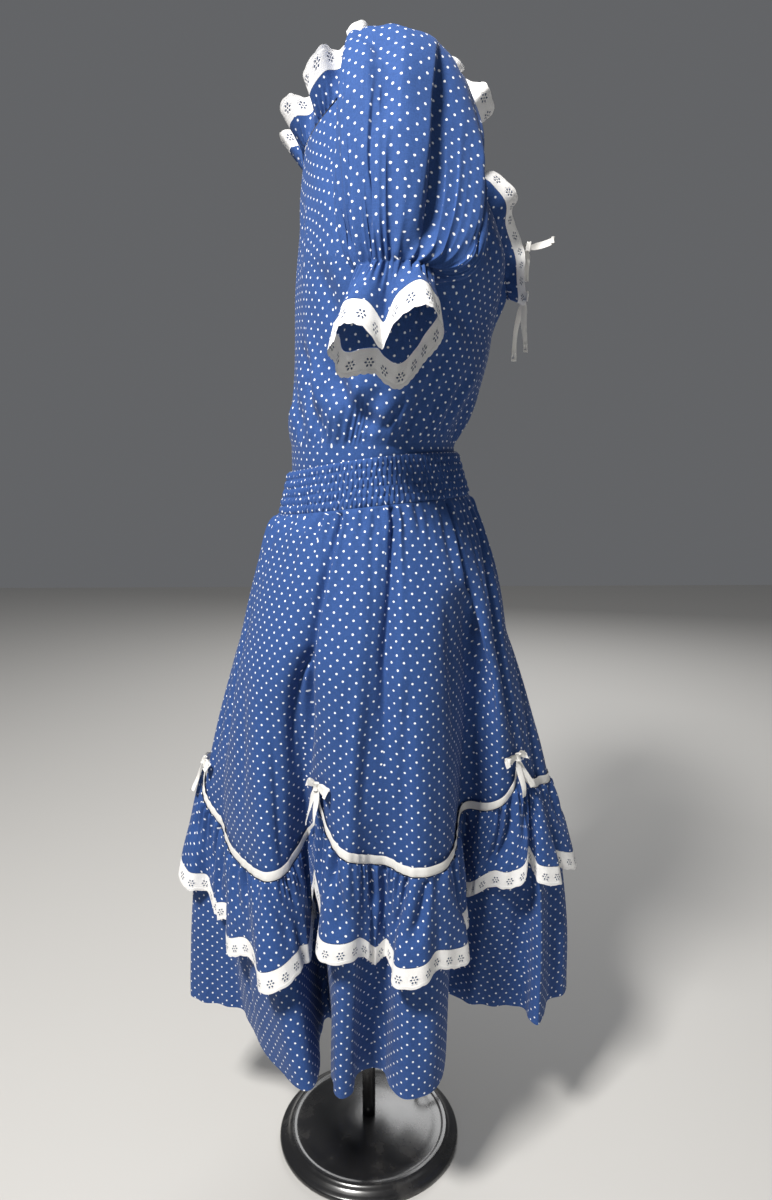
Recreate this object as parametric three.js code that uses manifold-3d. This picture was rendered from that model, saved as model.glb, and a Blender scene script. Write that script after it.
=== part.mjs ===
// Square dance skirt set: a dotted cotton blouse and skirt worn on a limbless dress form
// that stands on a pole and a round base. Millimetres, +Z up, +X is the wearer's front,
// -Y is the wearer's right. The origin is the middle of the base's underside.
import * as THREE from 'three';
import { mergeVertices } from 'three/addons/utils/BufferGeometryUtils.js';
import Module from 'manifold-3d';

const wasm = await Module();
wasm.setup();

// ---------------------------------------------------------------- driving dimensions
const CLOTH = 1.3;             // wall of cotton cloth
const LACE = 1.2;              // wall of eyelet lace
const RIBBON = 1.2;            // wall of satin ribbon
const SEAM = 0.3;              // gap between two sewn pieces
const BAND_HEIGHT = 44;        // shirred waistband
const HEM_SIDE_Z = 178;        // hem height over the table at the wearer's sides
const HEM_END_Z = 186;         // hem height at front and back
const RIBBON_HEIGHT = 10;      // ribbon along the swag line
const RUFFLE_DEPTH = 84;       // skirt ruffle without its lace
const LACE_DEPTH = 21;         // eyelet lace along the skirt ruffle
const NECK_RUFFLE = 26;        // neck ruffle without its lace
const NECK_LACE = 19;          // eyelet lace along the neck ruffle
const SLEEVE_LACE = 21;        // eyelet lace along a sleeve's flounce
const BASE_RADIUS = 110;
const POLE_RADIUS = 8;
const WIRE_RADIUS = 2.5;       // hook and base loop

// Bearings are in degrees round the vertical axis: -90 back, 0 wearer's right, 90 front.
const TURN = 360;
const BACK = -90;
const FRONT = 90;

// ---------------------------------------------------------------- colours
const NAVY = new THREE.Color(0.035, 0.105, 0.33);
const WHITE = new THREE.Color(0.86, 0.85, 0.83);
const BLACK = new THREE.Color(0.02, 0.02, 0.022);

const cottonMaterial = () => new THREE.MeshStandardMaterial({ color: NAVY, roughness: 0.85 });
const laceMaterial = () => new THREE.MeshStandardMaterial({ color: WHITE, roughness: 0.9 });
const ribbonMaterial = () => new THREE.MeshStandardMaterial({ color: WHITE, roughness: 0.5 });
const formMaterial = () => new THREE.MeshStandardMaterial({ color: BLACK, roughness: 0.4 });
const steelMaterial = () => new THREE.MeshStandardMaterial({
  color: BLACK, roughness: 0.3, metalness: 0.7,
});

// ---------------------------------------------------------------- small helpers
const vec = (x, y, z) => new THREE.Vector3(x, y, z);
const rad = (degrees) => degrees * Math.PI / 180;
const FULL = Math.PI * 2;      // a whole turn of a wave
const mix = (a, b, t) => a + (b - a) * t;
const clamp01 = (t) => Math.min(1, Math.max(0, t));
const smooth = (t) => clamp01(t) * clamp01(t) * (3 - 2 * clamp01(t));
const wrap01 = (u) => u - Math.floor(u);

// Value of a table's column at a key, straight between rows.
function along(table, keyName, columnName, key) {
  let row = 0;
  while (row < table.length - 2 && table[row + 1][keyName] < key) row += 1;
  const low = table[row];
  const high = table[row + 1];
  const t = clamp01((key - low[keyName]) / (high[keyName] - low[keyName]));
  return mix(low[columnName], high[columnName], t);
}

// The same with an eased run between rows.
function eased(table, keyName, columnName, key) {
  let row = 0;
  while (row < table.length - 2 && table[row + 1][keyName] < key) row += 1;
  const low = table[row];
  const high = table[row + 1];
  const t = smooth((key - low[keyName]) / (high[keyName] - low[keyName]));
  return mix(low[columnName], high[columnName], t);
}

// A closed Catmull-Rom value through the rows of a table, at a row number with a fraction.
function roundTable(table, columnName, position) {
  const count = table.length;
  const index = Math.floor(position);
  const t = position - index;
  const value = (step) => table[(index + step + 2 * count) % count][columnName];
  const [a, b, c, d] = [value(-1), value(0), value(1), value(2)];
  const slopeB = (c - a) / 2;
  const slopeC = (d - b) / 2;
  const t2 = t * t;
  const t3 = t2 * t;
  return (2 * t3 - 3 * t2 + 1) * b + (t3 - 2 * t2 + t) * slopeB
    + (3 * t2 - 2 * t3) * c + (t3 - t2) * slopeC;
}

// ---------------------------------------------------------------- walls
// Evenly spaced shares of the way across or down: both ends, or one end of a closed ring.
const shares = (count) => Array.from({ length: count }, (_, index) => index / (count - 1));
const roundShares = (count) => Array.from({ length: count }, (_, index) => index / count);

// A grid of outer points with their normals, rows of columns. An open grid is worked out
// one column past each end, so that neighbours agree along their seam.
function gridOf(across, down, closed, pointAt) {
  const last = across.length - 1;
  const before = closed ? across[last] - 1 : 2 * across[0] - across[1];
  const after = closed ? across[0] + 1 : 2 * across[last] - across[last - 1];
  const lines = down.map((v) => [before, ...across, after].map((u) => pointAt(u, v)));
  const clampRow = (row) => Math.min(down.length - 1, Math.max(0, row));
  return lines.map((line, row) => line.slice(1, -1).map((point, index) => {
    const column = index + 1;
    const sideways = line[column + 1].clone().sub(line[column - 1]);
    const downwards = lines[clampRow(row + 1)][column].clone().sub(lines[clampRow(row - 1)][column]);
    const normal = downwards.cross(sideways).normalize();
    return { point, normal, sideways: sideways.normalize() };
  }));
}

// Rows of a grid from one row on, with the first row moved down clear of the piece above,
// whose lower rim may lean over it.
const SEAM_DROP = SEAM * 2.2;

function belowSeam(grid, fromRow) {
  const copyOf = (cell) => ({ ...cell, point: cell.point.clone() });
  const rows = grid.slice(fromRow).map((line) => line.map(copyOf));
  rows[0].forEach((cell, column) => {
    const next = rows[1][column].point.clone().sub(cell.point).normalize();
    cell.point.addScaledVector(next, SEAM_DROP);
  });
  return rows;
}

// A cloth wall over such a grid. The inner skin lies one thickness behind the outer one,
// rims close the free edges, and an open wall stops half a seam short at each end.
function wallGeometry(grid, thickness, closed, outward = 1) {
  const rows = grid.length;
  const columns = grid[0].length;
  if (!closed) {
    grid.forEach((line) => {
      line[0].point.addScaledVector(line[0].sideways, SEAM / 2);
      line[columns - 1].point.addScaledVector(line[columns - 1].sideways, -SEAM / 2);
    });
  }
  const positions = [];
  const push = (point) => positions.push(point.x, point.y, point.z);
  grid.forEach((line) => line.forEach((cell) => push(cell.point)));
  grid.forEach((line) => line.forEach((cell) => (
    push(cell.point.clone().addScaledVector(cell.normal, -thickness * outward)))));
  const outer = (row, column) => row * columns + (column % columns);
  const inner = (row, column) => rows * columns + outer(row, column);
  const faces = [];
  const quad = (a, b, c, d) => {
    const order = outward > 0 ? [a, b, c, a, c, d] : [a, c, b, a, d, c];
    faces.push(...order);
  };
  const spans = closed ? columns : columns - 1;
  for (let row = 0; row < rows - 1; row += 1) {
    for (let column = 0; column < spans; column += 1) {
      const next = column + 1;
      quad(outer(row, column), outer(row + 1, column), outer(row + 1, next), outer(row, next));
      quad(inner(row, column), inner(row, next), inner(row + 1, next), inner(row + 1, column));
    }
  }
  for (let column = 0; column < spans; column += 1) {
    quad(outer(0, column), outer(0, column + 1), inner(0, column + 1), inner(0, column));
    const last = rows - 1;
    quad(outer(last, column), inner(last, column), inner(last, column + 1), outer(last, column + 1));
  }
  if (!closed) {
    const end = columns - 1;
    for (let row = 0; row < rows - 1; row += 1) {
      quad(outer(row, 0), inner(row, 0), inner(row + 1, 0), outer(row + 1, 0));
      quad(outer(row, end), outer(row + 1, end), inner(row + 1, end), inner(row, end));
    }
  }
  return geometryOf(positions, faces);
}

function geometryOf(positions, faces) {
  const geometry = new THREE.BufferGeometry();
  geometry.setAttribute('position', new THREE.Float32BufferAttribute(positions, 3));
  geometry.setIndex(faces);
  return geometry;
}

function toManifold(geometry) {
  const bare = new THREE.BufferGeometry();
  bare.setAttribute('position', geometry.getAttribute('position').clone());
  bare.setIndex(geometry.getIndex());
  const merged = mergeVertices(bare, 1e-4);
  return new wasm.Manifold(new wasm.Mesh({
    numProp: 3,
    vertProperties: new Float32Array(merged.getAttribute('position').array),
    triVerts: new Uint32Array(merged.getIndex().array),
  }));
}

function joined(geometries) {
  const solid = geometries.map(toManifold).reduce((sum, next) => sum.add(next));
  const mesh = solid.getMesh();
  return geometryOf(Array.from(mesh.vertProperties), Array.from(mesh.triVerts));
}

const outfit = new THREE.Group();
outfit.name = 'square_dance_skirt_set';

function addPiece(name, geometry, material) {
  const mesh = new THREE.Mesh(geometry, material);
  mesh.name = name;
  outfit.add(mesh);
}

// ---------------------------------------------------------------- waistband line
// The band slants: it sits lower at the back.
function bandBottomZ(bearing) {
  return 778.5 + 10.5 * Math.sin(rad(bearing)) + 6.5 * Math.cos(rad(bearing)) ** 2;
}

function ellipsePoint(bearing, z, ring) {
  const middle = (ring.front + ring.back) / 2;
  const reach = (ring.front - ring.back) / 2;
  return vec(middle + reach * Math.sin(rad(bearing)), -ring.side * Math.cos(rad(bearing)), z);
}

// ---------------------------------------------------------------- skirt
// Rings that the skirt would fill if it hung smooth.
const skirtRings = [
  { z: 150, back: -206, front: 226, side: 150 },
  { z: 400, back: -178, front: 192, side: 164 },
  { z: 540, back: -158, front: 172, side: 168 },
  { z: 609, back: -146, front: 161, side: 166 },
  { z: 642, back: -137, front: 153, side: 163 },
  { z: 675, back: -129, front: 148, side: 158 },
  { z: 708, back: -120, front: 140, side: 151 },
  { z: 740, back: -109.5, front: 129, side: 143 },
  { z: 756, back: -103, front: 123, side: 138 },
  { z: 771, back: -93.5, front: 116, side: 133 },
  { z: 790, back: -90, front: 108.5, side: 128 },
];

// The hem in plan, from the middle of the back past the wearer's right side to the middle
// of the front. "starts" is how far down the skirt that fold begins, 0 at the band, and
// "pace" how it deepens: under 1 it is deep soon below its start.
const hemRight = [
  { x: -216, y: 12, starts: 0.26, pace: 1.0 },
  { x: -203, y: -5, starts: 0.26, pace: 1.0 },
  { x: -172, y: -13, starts: 0.28, pace: 1.0 },
  { x: -146, y: -24, starts: 0.30, pace: 1.0 },
  { x: -133, y: -56, starts: 0.32, pace: 1.0 },
  { x: -117, y: -88, starts: 0.30, pace: 1.0 },
  { x: -96, y: -117, starts: 0.28, pace: 1.0 },
  { x: -76, y: -143, starts: 0.26, pace: 1.0 },
  { x: -61, y: -147, starts: 0.26, pace: 1.0 },
  { x: -53, y: -128, starts: 0.26, pace: 0.9 },
  { x: -54, y: -80, starts: 0.26, pace: 0.8 },
  { x: -51, y: -36, starts: 0.26, pace: 0.7 },
  { x: -43, y: -36, starts: 0.26, pace: 0.7 },
  { x: -40, y: -84, starts: 0.26, pace: 0.8 },
  { x: -39, y: -134, starts: 0.26, pace: 0.9 },
  { x: -30, y: -154, starts: 0.26, pace: 1.0 },
  { x: -18, y: -148, starts: 0.24, pace: 1.0 },
  { x: -11, y: -119, starts: 0.28, pace: 1.0 },
  { x: 4, y: -108, starts: 0.30, pace: 1.0 },
  { x: 17, y: -114, starts: 0.28, pace: 1.0 },
  { x: 23, y: -138, starts: 0.24, pace: 1.0 },
  { x: 37, y: -156, starts: 0.18, pace: 0.9 },
  { x: 61, y: -153, starts: 0.16, pace: 0.8 },
  { x: 76, y: -134, starts: 0.16, pace: 0.7 },
  { x: 83, y: -100, starts: 0.16, pace: 0.58 },
  { x: 84, y: -58, starts: 0.16, pace: 0.52 },
  { x: 84, y: -16, starts: 0.16, pace: 0.55 },
  { x: 92, y: 4, starts: 0.18, pace: 0.75 },
  { x: 104, y: 2, starts: 0.22, pace: 1.0 },
  { x: 118, y: -14, starts: 0.26, pace: 1.2 },
  { x: 150, y: -19, starts: 0.30, pace: 1.25 },
  { x: 180, y: -21, starts: 0.30, pace: 1.2 },
  { x: 187, y: -42, starts: 0.30, pace: 1.1 },
  { x: 194, y: -54, starts: 0.30, pace: 1.0 },
  { x: 202, y: -42, starts: 0.28, pace: 1.0 },
  { x: 213, y: -12, starts: 0.26, pace: 1.0 },
  { x: 236, y: -4, starts: 0.24, pace: 1.0 },
  { x: 246, y: 18, starts: 0.24, pace: 1.0 },
];

// The same for the wearer's left side, from the front back to the middle of the back.
const hemLeft = [
  { x: 243, y: 42, starts: 0.24, pace: 1.0 },
  { x: 224, y: 60, starts: 0.26, pace: 1.0 },
  { x: 202, y: 66, starts: 0.28, pace: 1.0 },
  { x: 178, y: 54, starts: 0.28, pace: 1.0 },
  { x: 158, y: 48, starts: 0.26, pace: 1.0 },
  { x: 143, y: 64, starts: 0.24, pace: 1.0 },
  { x: 133, y: 94, starts: 0.24, pace: 1.0 },
  { x: 117, y: 121, starts: 0.26, pace: 1.0 },
  { x: 98, y: 130, starts: 0.28, pace: 1.0 },
  { x: 86, y: 106, starts: 0.30, pace: 0.8 },
  { x: 80, y: 70, starts: 0.30, pace: 0.7 },
  { x: 70, y: 50, starts: 0.30, pace: 0.7 },
  { x: 58, y: 68, starts: 0.28, pace: 0.8 },
  { x: 52, y: 116, starts: 0.26, pace: 1.0 },
  { x: 40, y: 148, starts: 0.24, pace: 1.0 },
  { x: 20, y: 157, starts: 0.22, pace: 1.0 },
  { x: 1, y: 149, starts: 0.22, pace: 1.0 },
  { x: -9, y: 120, starts: 0.24, pace: 1.0 },
  { x: -19, y: 102, starts: 0.26, pace: 0.9 },
  { x: -31, y: 112, starts: 0.26, pace: 1.0 },
  { x: -38, y: 136, starts: 0.26, pace: 1.0 },
  { x: -52, y: 152, starts: 0.26, pace: 1.0 },
  { x: -72, y: 149, starts: 0.28, pace: 1.0 },
  { x: -88, y: 126, starts: 0.30, pace: 1.0 },
  { x: -96, y: 88, starts: 0.32, pace: 1.0 },
  { x: -104, y: 56, starts: 0.32, pace: 0.8 },
  { x: -116, y: 54, starts: 0.32, pace: 0.8 },
  { x: -128, y: 78, starts: 0.30, pace: 1.0 },
  { x: -142, y: 96, starts: 0.28, pace: 1.0 },
  { x: -157, y: 86, starts: 0.26, pace: 1.0 },
  { x: -168, y: 62, starts: 0.26, pace: 1.0 },
  { x: -186, y: 50, starts: 0.26, pace: 1.0 },
  { x: -206, y: 38, starts: 0.26, pace: 1.0 },
];

const hemTable = hemRight.concat(hemLeft);
const HEM_SAMPLES = 16;        // steps between two hem rows when its length is measured

function hemPlan(position) {
  return vec(roundTable(hemTable, 'x', position), roundTable(hemTable, 'y', position), 0);
}

// Length along the hem to each sample, so that gathers share the cloth evenly.
const hemLengths = [0];
for (let sample = 1; sample <= hemTable.length * HEM_SAMPLES; sample += 1) {
  const before = hemPlan((sample - 1) / HEM_SAMPLES);
  const here = hemPlan(sample / HEM_SAMPLES);
  hemLengths.push(hemLengths[sample - 1] + before.distanceTo(here));
}
const hemHalf = hemLengths[hemRight.length * HEM_SAMPLES];
const hemWhole = hemLengths[hemLengths.length - 1];

// Position in the hem table of a thread: 0 back, 0.5 front, 1 back again.
function hemPosition(u) {
  const wrapped = wrap01(u);
  const length = wrapped < 0.5
    ? hemHalf * wrapped * 2
    : hemHalf + (hemWhole - hemHalf) * (wrapped - 0.5) * 2;
  let low = 0;
  let high = hemLengths.length - 1;
  while (high - low > 1) {
    const middle = (low + high) >> 1;
    if (hemLengths[middle] > length) high = middle;
    else low = middle;
  }
  const t = (length - hemLengths[low]) / (hemLengths[high] - hemLengths[low]);
  return (low + t) / HEM_SAMPLES;
}

// The same the other way: the thread of a hem row, counted on past 1 or back under 0.
function threadOf(row) {
  const turns = Math.floor(row / hemTable.length);
  const length = hemLengths[(row - turns * hemTable.length) * HEM_SAMPLES];
  if (length <= hemHalf) return turns + length / hemHalf / 2;
  return turns + 0.5 + (length - hemHalf) / (hemWhole - hemHalf) / 2;
}

// A column of faces down every hem row, and one between two rows that are far apart.
const WIDE_SPAN = 0.0152;      // of the way round

function skirtColumns(fromRow, toRow) {
  const columns = [];
  for (let row = fromRow; row < toRow; row += 1) {
    const here = threadOf(row);
    const next = threadOf(row + 1);
    columns.push(here);
    if (next - here > WIDE_SPAN) columns.push((here + next) / 2);
  }
  return columns;
}

const threadBearing = (u) => BACK + TURN * wrap01(u);
const hemZ = (bearing) => mix(HEM_END_Z, HEM_SIDE_Z, Math.cos(rad(bearing)) ** 2);

function skirtRow(u, v) {
  const bearing = threadBearing(u);
  const top = bandBottomZ(bearing) - SEAM;
  const z = mix(top, hemZ(bearing), v);
  const ring = {
    back: along(skirtRings, 'z', 'back', z),
    front: along(skirtRings, 'z', 'front', z),
    side: along(skirtRings, 'z', 'side', z),
  };
  const smoothPoint = ellipsePoint(bearing, z, ring);
  const position = hemPosition(u);
  const starts = roundTable(hemTable, 'starts', position);
  const pace = roundTable(hemTable, 'pace', position);
  const hang = clamp01((v - starts) / (1 - starts)) ** pace;
  const hem = hemPlan(position);
  return vec(mix(smoothPoint.x, hem.x, hang), mix(smoothPoint.y, hem.y, hang), z);
}

// Ways down the skirt of its rows: four under the band, then the ribbon's two edges, the
// end of the ruffle and the hem.
const UPPER_STOPS = [0, 0.05, 0.16, 0.30];
const skirtStops = (u) => UPPER_STOPS.concat([
  swagV(u) - ribbonHalf, swagV(u) + ruffleTop, swagV(u) + ruffleTop + ruffleRun, 1,
]);

// A point of the skirt's outer face: u round the body, v down a thread, which runs
// straight between the rows.
function skirtPoint(u, v) {
  const stops = skirtStops(u);
  let row = 0;
  while (row < stops.length - 2 && stops[row + 1] < v) row += 1;
  const t = (v - stops[row]) / (stops[row + 1] - stops[row]);
  return skirtRow(u, stops[row]).lerp(skirtRow(u, stops[row + 1]), t);
}

const THREAD_STEP = 0.002;     // of the way round
const DOWN_STEP = 0.01;        // of the way down

function skirtNormal(u, v, reach = THREAD_STEP) {
  const across = skirtRow(u + reach, v).sub(skirtRow(u - reach, v));
  const down = skirtRow(u, v + DOWN_STEP).sub(skirtRow(u, v - DOWN_STEP));
  return down.cross(across).normalize();
}

// Away from the skirt, without two sides of a valley running into each other.
const BROAD_REACH = 0.014;

function skirtOutward(u, v) {
  return skirtNormal(u, v).add(skirtNormal(u, v, BROAD_REACH)).normalize();
}

// Radius of the largest ball that touches the skirt at a point and fits in the valley
// that the point lies in.
const ROOM_STEP = 0.004;
const ROOM_STEPS = 18;

function valleyRoom(u, v, outward) {
  const here = skirtRow(u, v);
  let room = Infinity;
  for (let step = 1; step <= ROOM_STEPS; step += 1) {
    [u - step * ROOM_STEP, u + step * ROOM_STEP].forEach((other) => {
      const there = skirtRow(other, v).sub(here);
      const ahead = there.dot(outward);
      if (ahead > 0) room = Math.min(room, there.lengthSq() / (2 * ahead));
    });
  }
  return room;
}

// Hem rows of the side seams, each in a valley.
const SEAM_ROW_RIGHT = 18;
const SEAM_ROW_LEFT = 56;

function skirtPanel(fromRow, toRow) {
  const across = skirtColumns(fromRow, toRow).concat([threadOf(toRow)]);
  const rows = skirtStops(0).map((stop, index) => index);
  const pointAt = (u, row) => skirtRow(u, skirtStops(u)[row]);
  return wallGeometry(gridOf(across, rows, false, pointAt), CLOTH, false);
}

// ---------------------------------------------------------------- swags on the skirt
// Five swags hang between five bows. "v" is how far down the skirt a bow sits, "low" how
// far down the swag after it hangs, and "sunk" how far the bow settles into its ribbon's
// folds.
const swagTable = [
  { u: 0.000, v: 0.485, low: 0.612, sunk: 0 },
  { u: 0.196, v: 0.445, low: 0.583, sunk: 0.9 },
  { u: 0.418, v: 0.448, low: 0.538, sunk: 1.2 },
  { u: 0.612, v: 0.450, low: 0.580, sunk: 0.7 },
  { u: 0.806, v: 0.460, low: 0.606, sunk: -0.4 },
  { u: 1.000, v: 0.485, low: 0.612, sunk: 0 },
];
const SWAG_ROUNDNESS = 0.4;

function swagV(u) {
  const wrapped = wrap01(u);
  let index = 0;
  while (swagTable[index + 1].u <= wrapped) index += 1;
  const start = swagTable[index];
  const end = swagTable[index + 1];
  const t = (wrapped - start.u) / (end.u - start.u);
  const level = mix(start.v, end.v, t);
  const sag = Math.sin(Math.PI * clamp01(t)) ** SWAG_ROUNDNESS;
  return mix(level, start.low, sag);
}

const SKIRT_LENGTH = 602;      // of a thread, band to hem
const RIBBON_OFFSET = 0.5;     // from the skirt's face to the ribbon's back
const ribbonHalf = RIBBON_HEIGHT / 2 / SKIRT_LENGTH;
const RUFFLE_DROP = SEAM * 2.4; // from the ribbon's lower edge to the ruffle's upper one
const ruffleTop = ribbonHalf + RUFFLE_DROP / SKIRT_LENGTH;
const ruffleRun = RUFFLE_DEPTH / SKIRT_LENGTH;
const laceRun = LACE_DEPTH / SKIRT_LENGTH;

const RUFFLE_WAVES = 29;       // round the whole ruffle
const RUFFLE_STAND = 7;        // mean height off the skirt at its lace
const RUFFLE_SWING = 4.2;      // of a wave there
const RUFFLE_OPENING = 0.7;    // under 1 the ruffle stands off soon below its ribbon
const WAVE_DRIFT = 1.3;        // how unevenly its waves are spaced, three times round

// Height of the ruffle's outer face over the skirt: u round, q from the ribbon (0) to the
// ruffle's seam with the lace (1) and on over the lace.
function ruffleHeight(u, q) {
  const wave = Math.sin(FULL * RUFFLE_WAVES * u + WAVE_DRIFT * Math.sin(FULL * 3 * u));
  const open = clamp01(q) ** RUFFLE_OPENING;
  return CLOTH + RIBBON_OFFSET + open * (RUFFLE_STAND + RUFFLE_SWING * wave);
}

const ROOM_SHARE = 0.62;       // of a valley's room that lies under the ruffle

function overSkirt(u, v, height) {
  const outward = skirtOutward(u, v);
  const most = valleyRoom(u, v, outward) * ROOM_SHARE;
  const lowest = Math.min(height, RIBBON_OFFSET + CLOTH);
  return skirtPoint(u, v).addScaledVector(outward, Math.max(lowest, Math.min(height, most)));
}

// The swag's pieces have the skirt's own columns, so that they follow its faces.
const swagColumns = skirtColumns(0, hemTable.length);

function swagRibbon() {
  return wallGeometry(gridOf(swagColumns, [-1, 1], true, (u, side) => (
    overSkirt(u, swagV(u) + side * ribbonHalf, RIBBON_OFFSET + RIBBON))), RIBBON, true);
}

const ruffleRows = [0, 0.5, 1, 1 + laceRun / ruffleRun];
const RUFFLE_SEAM_ROW = 2;
const ruffleGrid = gridOf(swagColumns, ruffleRows, true, (u, q) => (
  overSkirt(u, swagV(u) + ruffleTop + ruffleRun * q, ruffleHeight(u, q))));

// ---------------------------------------------------------------- waistband
// Elastic rows pucker the band: the puckers are raised in its outer face only.
const PUCKERS = 42;
const PUCKER_HEIGHT = 1.1;
const ELASTIC_ROWS = 4;
const BAND_WALL = 1.6;         // under the puckers
const bandBottomRing = { back: -91.5, front: 108.5, side: 129 };
const bandTopRing = { back: -81, front: 95.5, side: 121.5 };

function bandPoint(bearing, rise, lift) {
  const z = bandBottomZ(bearing) + BAND_HEIGHT * rise;
  const size = (name) => mix(bandBottomRing[name], bandTopRing[name], rise);
  const ring = { back: size('back'), front: size('front'), side: size('side') };
  const middle = vec((ring.back + ring.front) / 2, 0, z);
  const flare = ellipsePoint(bearing, z, ring).sub(middle);
  return middle.addScaledVector(flare, (flare.length() + lift) / flare.length());
}

function waistband() {
  const columns = PUCKERS * 2;
  const rows = ELASTIC_ROWS * 2;
  const positions = [];
  const push = (point) => positions.push(point.x, point.y, point.z);
  for (let row = 0; row < rows; row += 1) {
    for (let column = 0; column < columns; column += 1) {
      const edge = row === 0 || row === rows - 1;
      const raised = !edge && row % 2 === column % 2;
      const bearing = threadBearing(column / columns);
      push(bandPoint(bearing, 1 - row / (rows - 1), raised ? PUCKER_HEIGHT : 0));
    }
  }
  [1, 0].forEach((rise) => {
    for (let column = 0; column < columns; column += 1) {
      push(bandPoint(threadBearing(column / columns), rise, -BAND_WALL));
    }
  });
  const faces = [];
  const at = (row, column) => row * columns + (column % columns);
  const quad = (a, b, c, d) => faces.push(a, b, c, a, c, d);
  const [last, top, bottom] = [rows - 1, rows, rows + 1];
  for (let column = 0; column < columns; column += 1) {
    const next = column + 1;
    for (let row = 0; row < last; row += 1) {
      quad(at(row, column), at(row + 1, column), at(row + 1, next), at(row, next));
    }
    quad(at(top, column), at(top, next), at(bottom, next), at(bottom, column));
    quad(at(0, column), at(0, next), at(top, next), at(top, column));
    quad(at(last, column), at(bottom, column), at(bottom, next), at(last, next));
  }
  return geometryOf(positions, faces);
}

// ---------------------------------------------------------------- blouse
// Body rings, from the tuck inside the waistband to the shoulders.
const blouseRings = [
  { z: 794, back: -78.6, front: 92.4, side: 119.2 },
  { z: 838, back: -78.6, front: 92.8, side: 119.2 },
  { z: 852, back: -79.5, front: 98.5, side: 124 },
  { z: 866, back: -79.0, front: 105.0, side: 128 },
  { z: 896, back: -75.5, front: 116.5, side: 133 },
  { z: 926, back: -73.0, front: 125.0, side: 139 },
  { z: 955, back: -72.0, front: 130.0, side: 146 },
  { z: 984, back: -71.5, front: 139.0, side: 153 },
  { z: 1013, back: -70.0, front: 147.0, side: 158 },
  { z: 1042, back: -68.0, front: 142.0, side: 158 },
  { z: 1070, back: -66.5, front: 132.0, side: 154 },
  { z: 1098, back: -64.0, front: 119.0, side: 148 },
  { z: 1130, back: -60.0, front: 103.0, side: 136 },
  { z: 1170, back: -50.0, front: 84.0, side: 118 },
];

// Upper edge of the blouse on the wearer's right: the neckline at back and front, and the
// seam with the raglan sleeve between them. "seam" marks the sleeve's rows.
const blouseEdge = [
  { bearing: -90, x: -61, y: 0, z: 1112, seam: 0 },
  { bearing: -62, x: -57, y: -40, z: 1118, seam: 0 },
  { bearing: -42, x: -43, y: -72, z: 1130, seam: 0 },
  { bearing: -24, x: -12, y: -98, z: 1154, seam: 1 },
  { bearing: -19, x: -17, y: -122, z: 1106, seam: 1 },
  { bearing: -15, x: -16, y: -140, z: 1056, seam: 1 },
  { bearing: -8, x: -6, y: -152, z: 1016, seam: 1 },
  { bearing: 0, x: 16, y: -157, z: 1001, seam: 1 },
  { bearing: 12, x: 46, y: -153, z: 1016, seam: 1 },
  { bearing: 23, x: 70, y: -138, z: 1056, seam: 1 },
  { bearing: 34, x: 82, y: -112, z: 1098, seam: 1 },
  { bearing: 45, x: 78, y: -84, z: 1130, seam: 1 },
  { bearing: 62, x: 104, y: -54, z: 1088, seam: 0 },
  { bearing: 78, x: 132, y: -26, z: 1034, seam: 0 },
  { bearing: 90, x: 146, y: 0, z: 988, seam: 0 },
];

// The wearer's left half mirrors the table.
function edgePoint(turned) {
  const bearing = BACK + TURN * wrap01((turned - BACK) / TURN);
  const mirrored = bearing > FRONT ? 2 * FRONT - bearing : bearing;
  const side = bearing > FRONT ? -1 : 1;
  return vec(
    along(blouseEdge, 'bearing', 'x', mirrored),
    side * along(blouseEdge, 'bearing', 'y', mirrored),
    along(blouseEdge, 'bearing', 'z', mirrored),
  );
}

const BLOUSE_FOOT_Z = 794;
const EDGE_EASE = 0.45;        // share of the panel that bends towards its upper edge

// Soft folds of the blouse where it puffs over the band: bearing, width, depth and the
// heights between which each shows.
const blouseFolds = [
  { bearing: -58, width: 9, depth: 5, low: 840, high: 905 },
  { bearing: -36, width: 8, depth: 4, low: 839, high: 880 },
  { bearing: -8, width: 8, depth: 5, low: 839, high: 892 },
  { bearing: 26, width: 9, depth: 4, low: 840, high: 900 },
  { bearing: 62, width: 10, depth: 4, low: 840, high: 900 },
  { bearing: 118, width: 10, depth: 4, low: 840, high: 896 },
  { bearing: 152, width: 8, depth: 5, low: 839, high: 900 },
  { bearing: 186, width: 8, depth: 4, low: 839, high: 884 },
  { bearing: 214, width: 8, depth: 5, low: 840, high: 905 },
  { bearing: 246, width: 9, depth: 4, low: 840, high: 890 },
];

function foldDepth(turned, z) {
  const bearing = BACK + TURN * wrap01((turned - BACK) / TURN);
  let depth = 0;
  blouseFolds.forEach((fold) => {
    const off = (bearing - fold.bearing) / fold.width;
    const run = (z - fold.low) / (fold.high - fold.low);
    if (run > 0 && run < 1) depth += fold.depth * Math.exp(-off * off) * Math.sin(Math.PI * run);
  });
  return depth;
}

function blouseBody(bearing, z) {
  const ring = {
    back: eased(blouseRings, 'z', 'back', z),
    front: eased(blouseRings, 'z', 'front', z),
    side: eased(blouseRings, 'z', 'side', z),
  };
  const point = ellipsePoint(bearing, z, ring);
  const away = vec(Math.sin(rad(bearing)), -Math.cos(rad(bearing)), 0);
  return point.addScaledVector(away, -foldDepth(bearing, z));
}

const TUCK_Z = 838;            // top of the straight stretch inside the waistband

// A point of the blouse's outer face: rise -1 at its foot, 0 above the waistband and 1 at
// its upper edge.
function blousePoint(bearing, rise) {
  const edge = edgePoint(bearing);
  const z = rise < 0 ? mix(TUCK_Z, BLOUSE_FOOT_Z, -rise) : mix(TUCK_Z, edge.z, rise);
  const body = blouseBody(bearing, z);
  const shift = edge.clone().sub(blouseBody(bearing, edge.z));
  const pull = smooth((rise - (1 - EDGE_EASE)) / EDGE_EASE);
  return body.addScaledVector(shift, pull);
}

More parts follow.
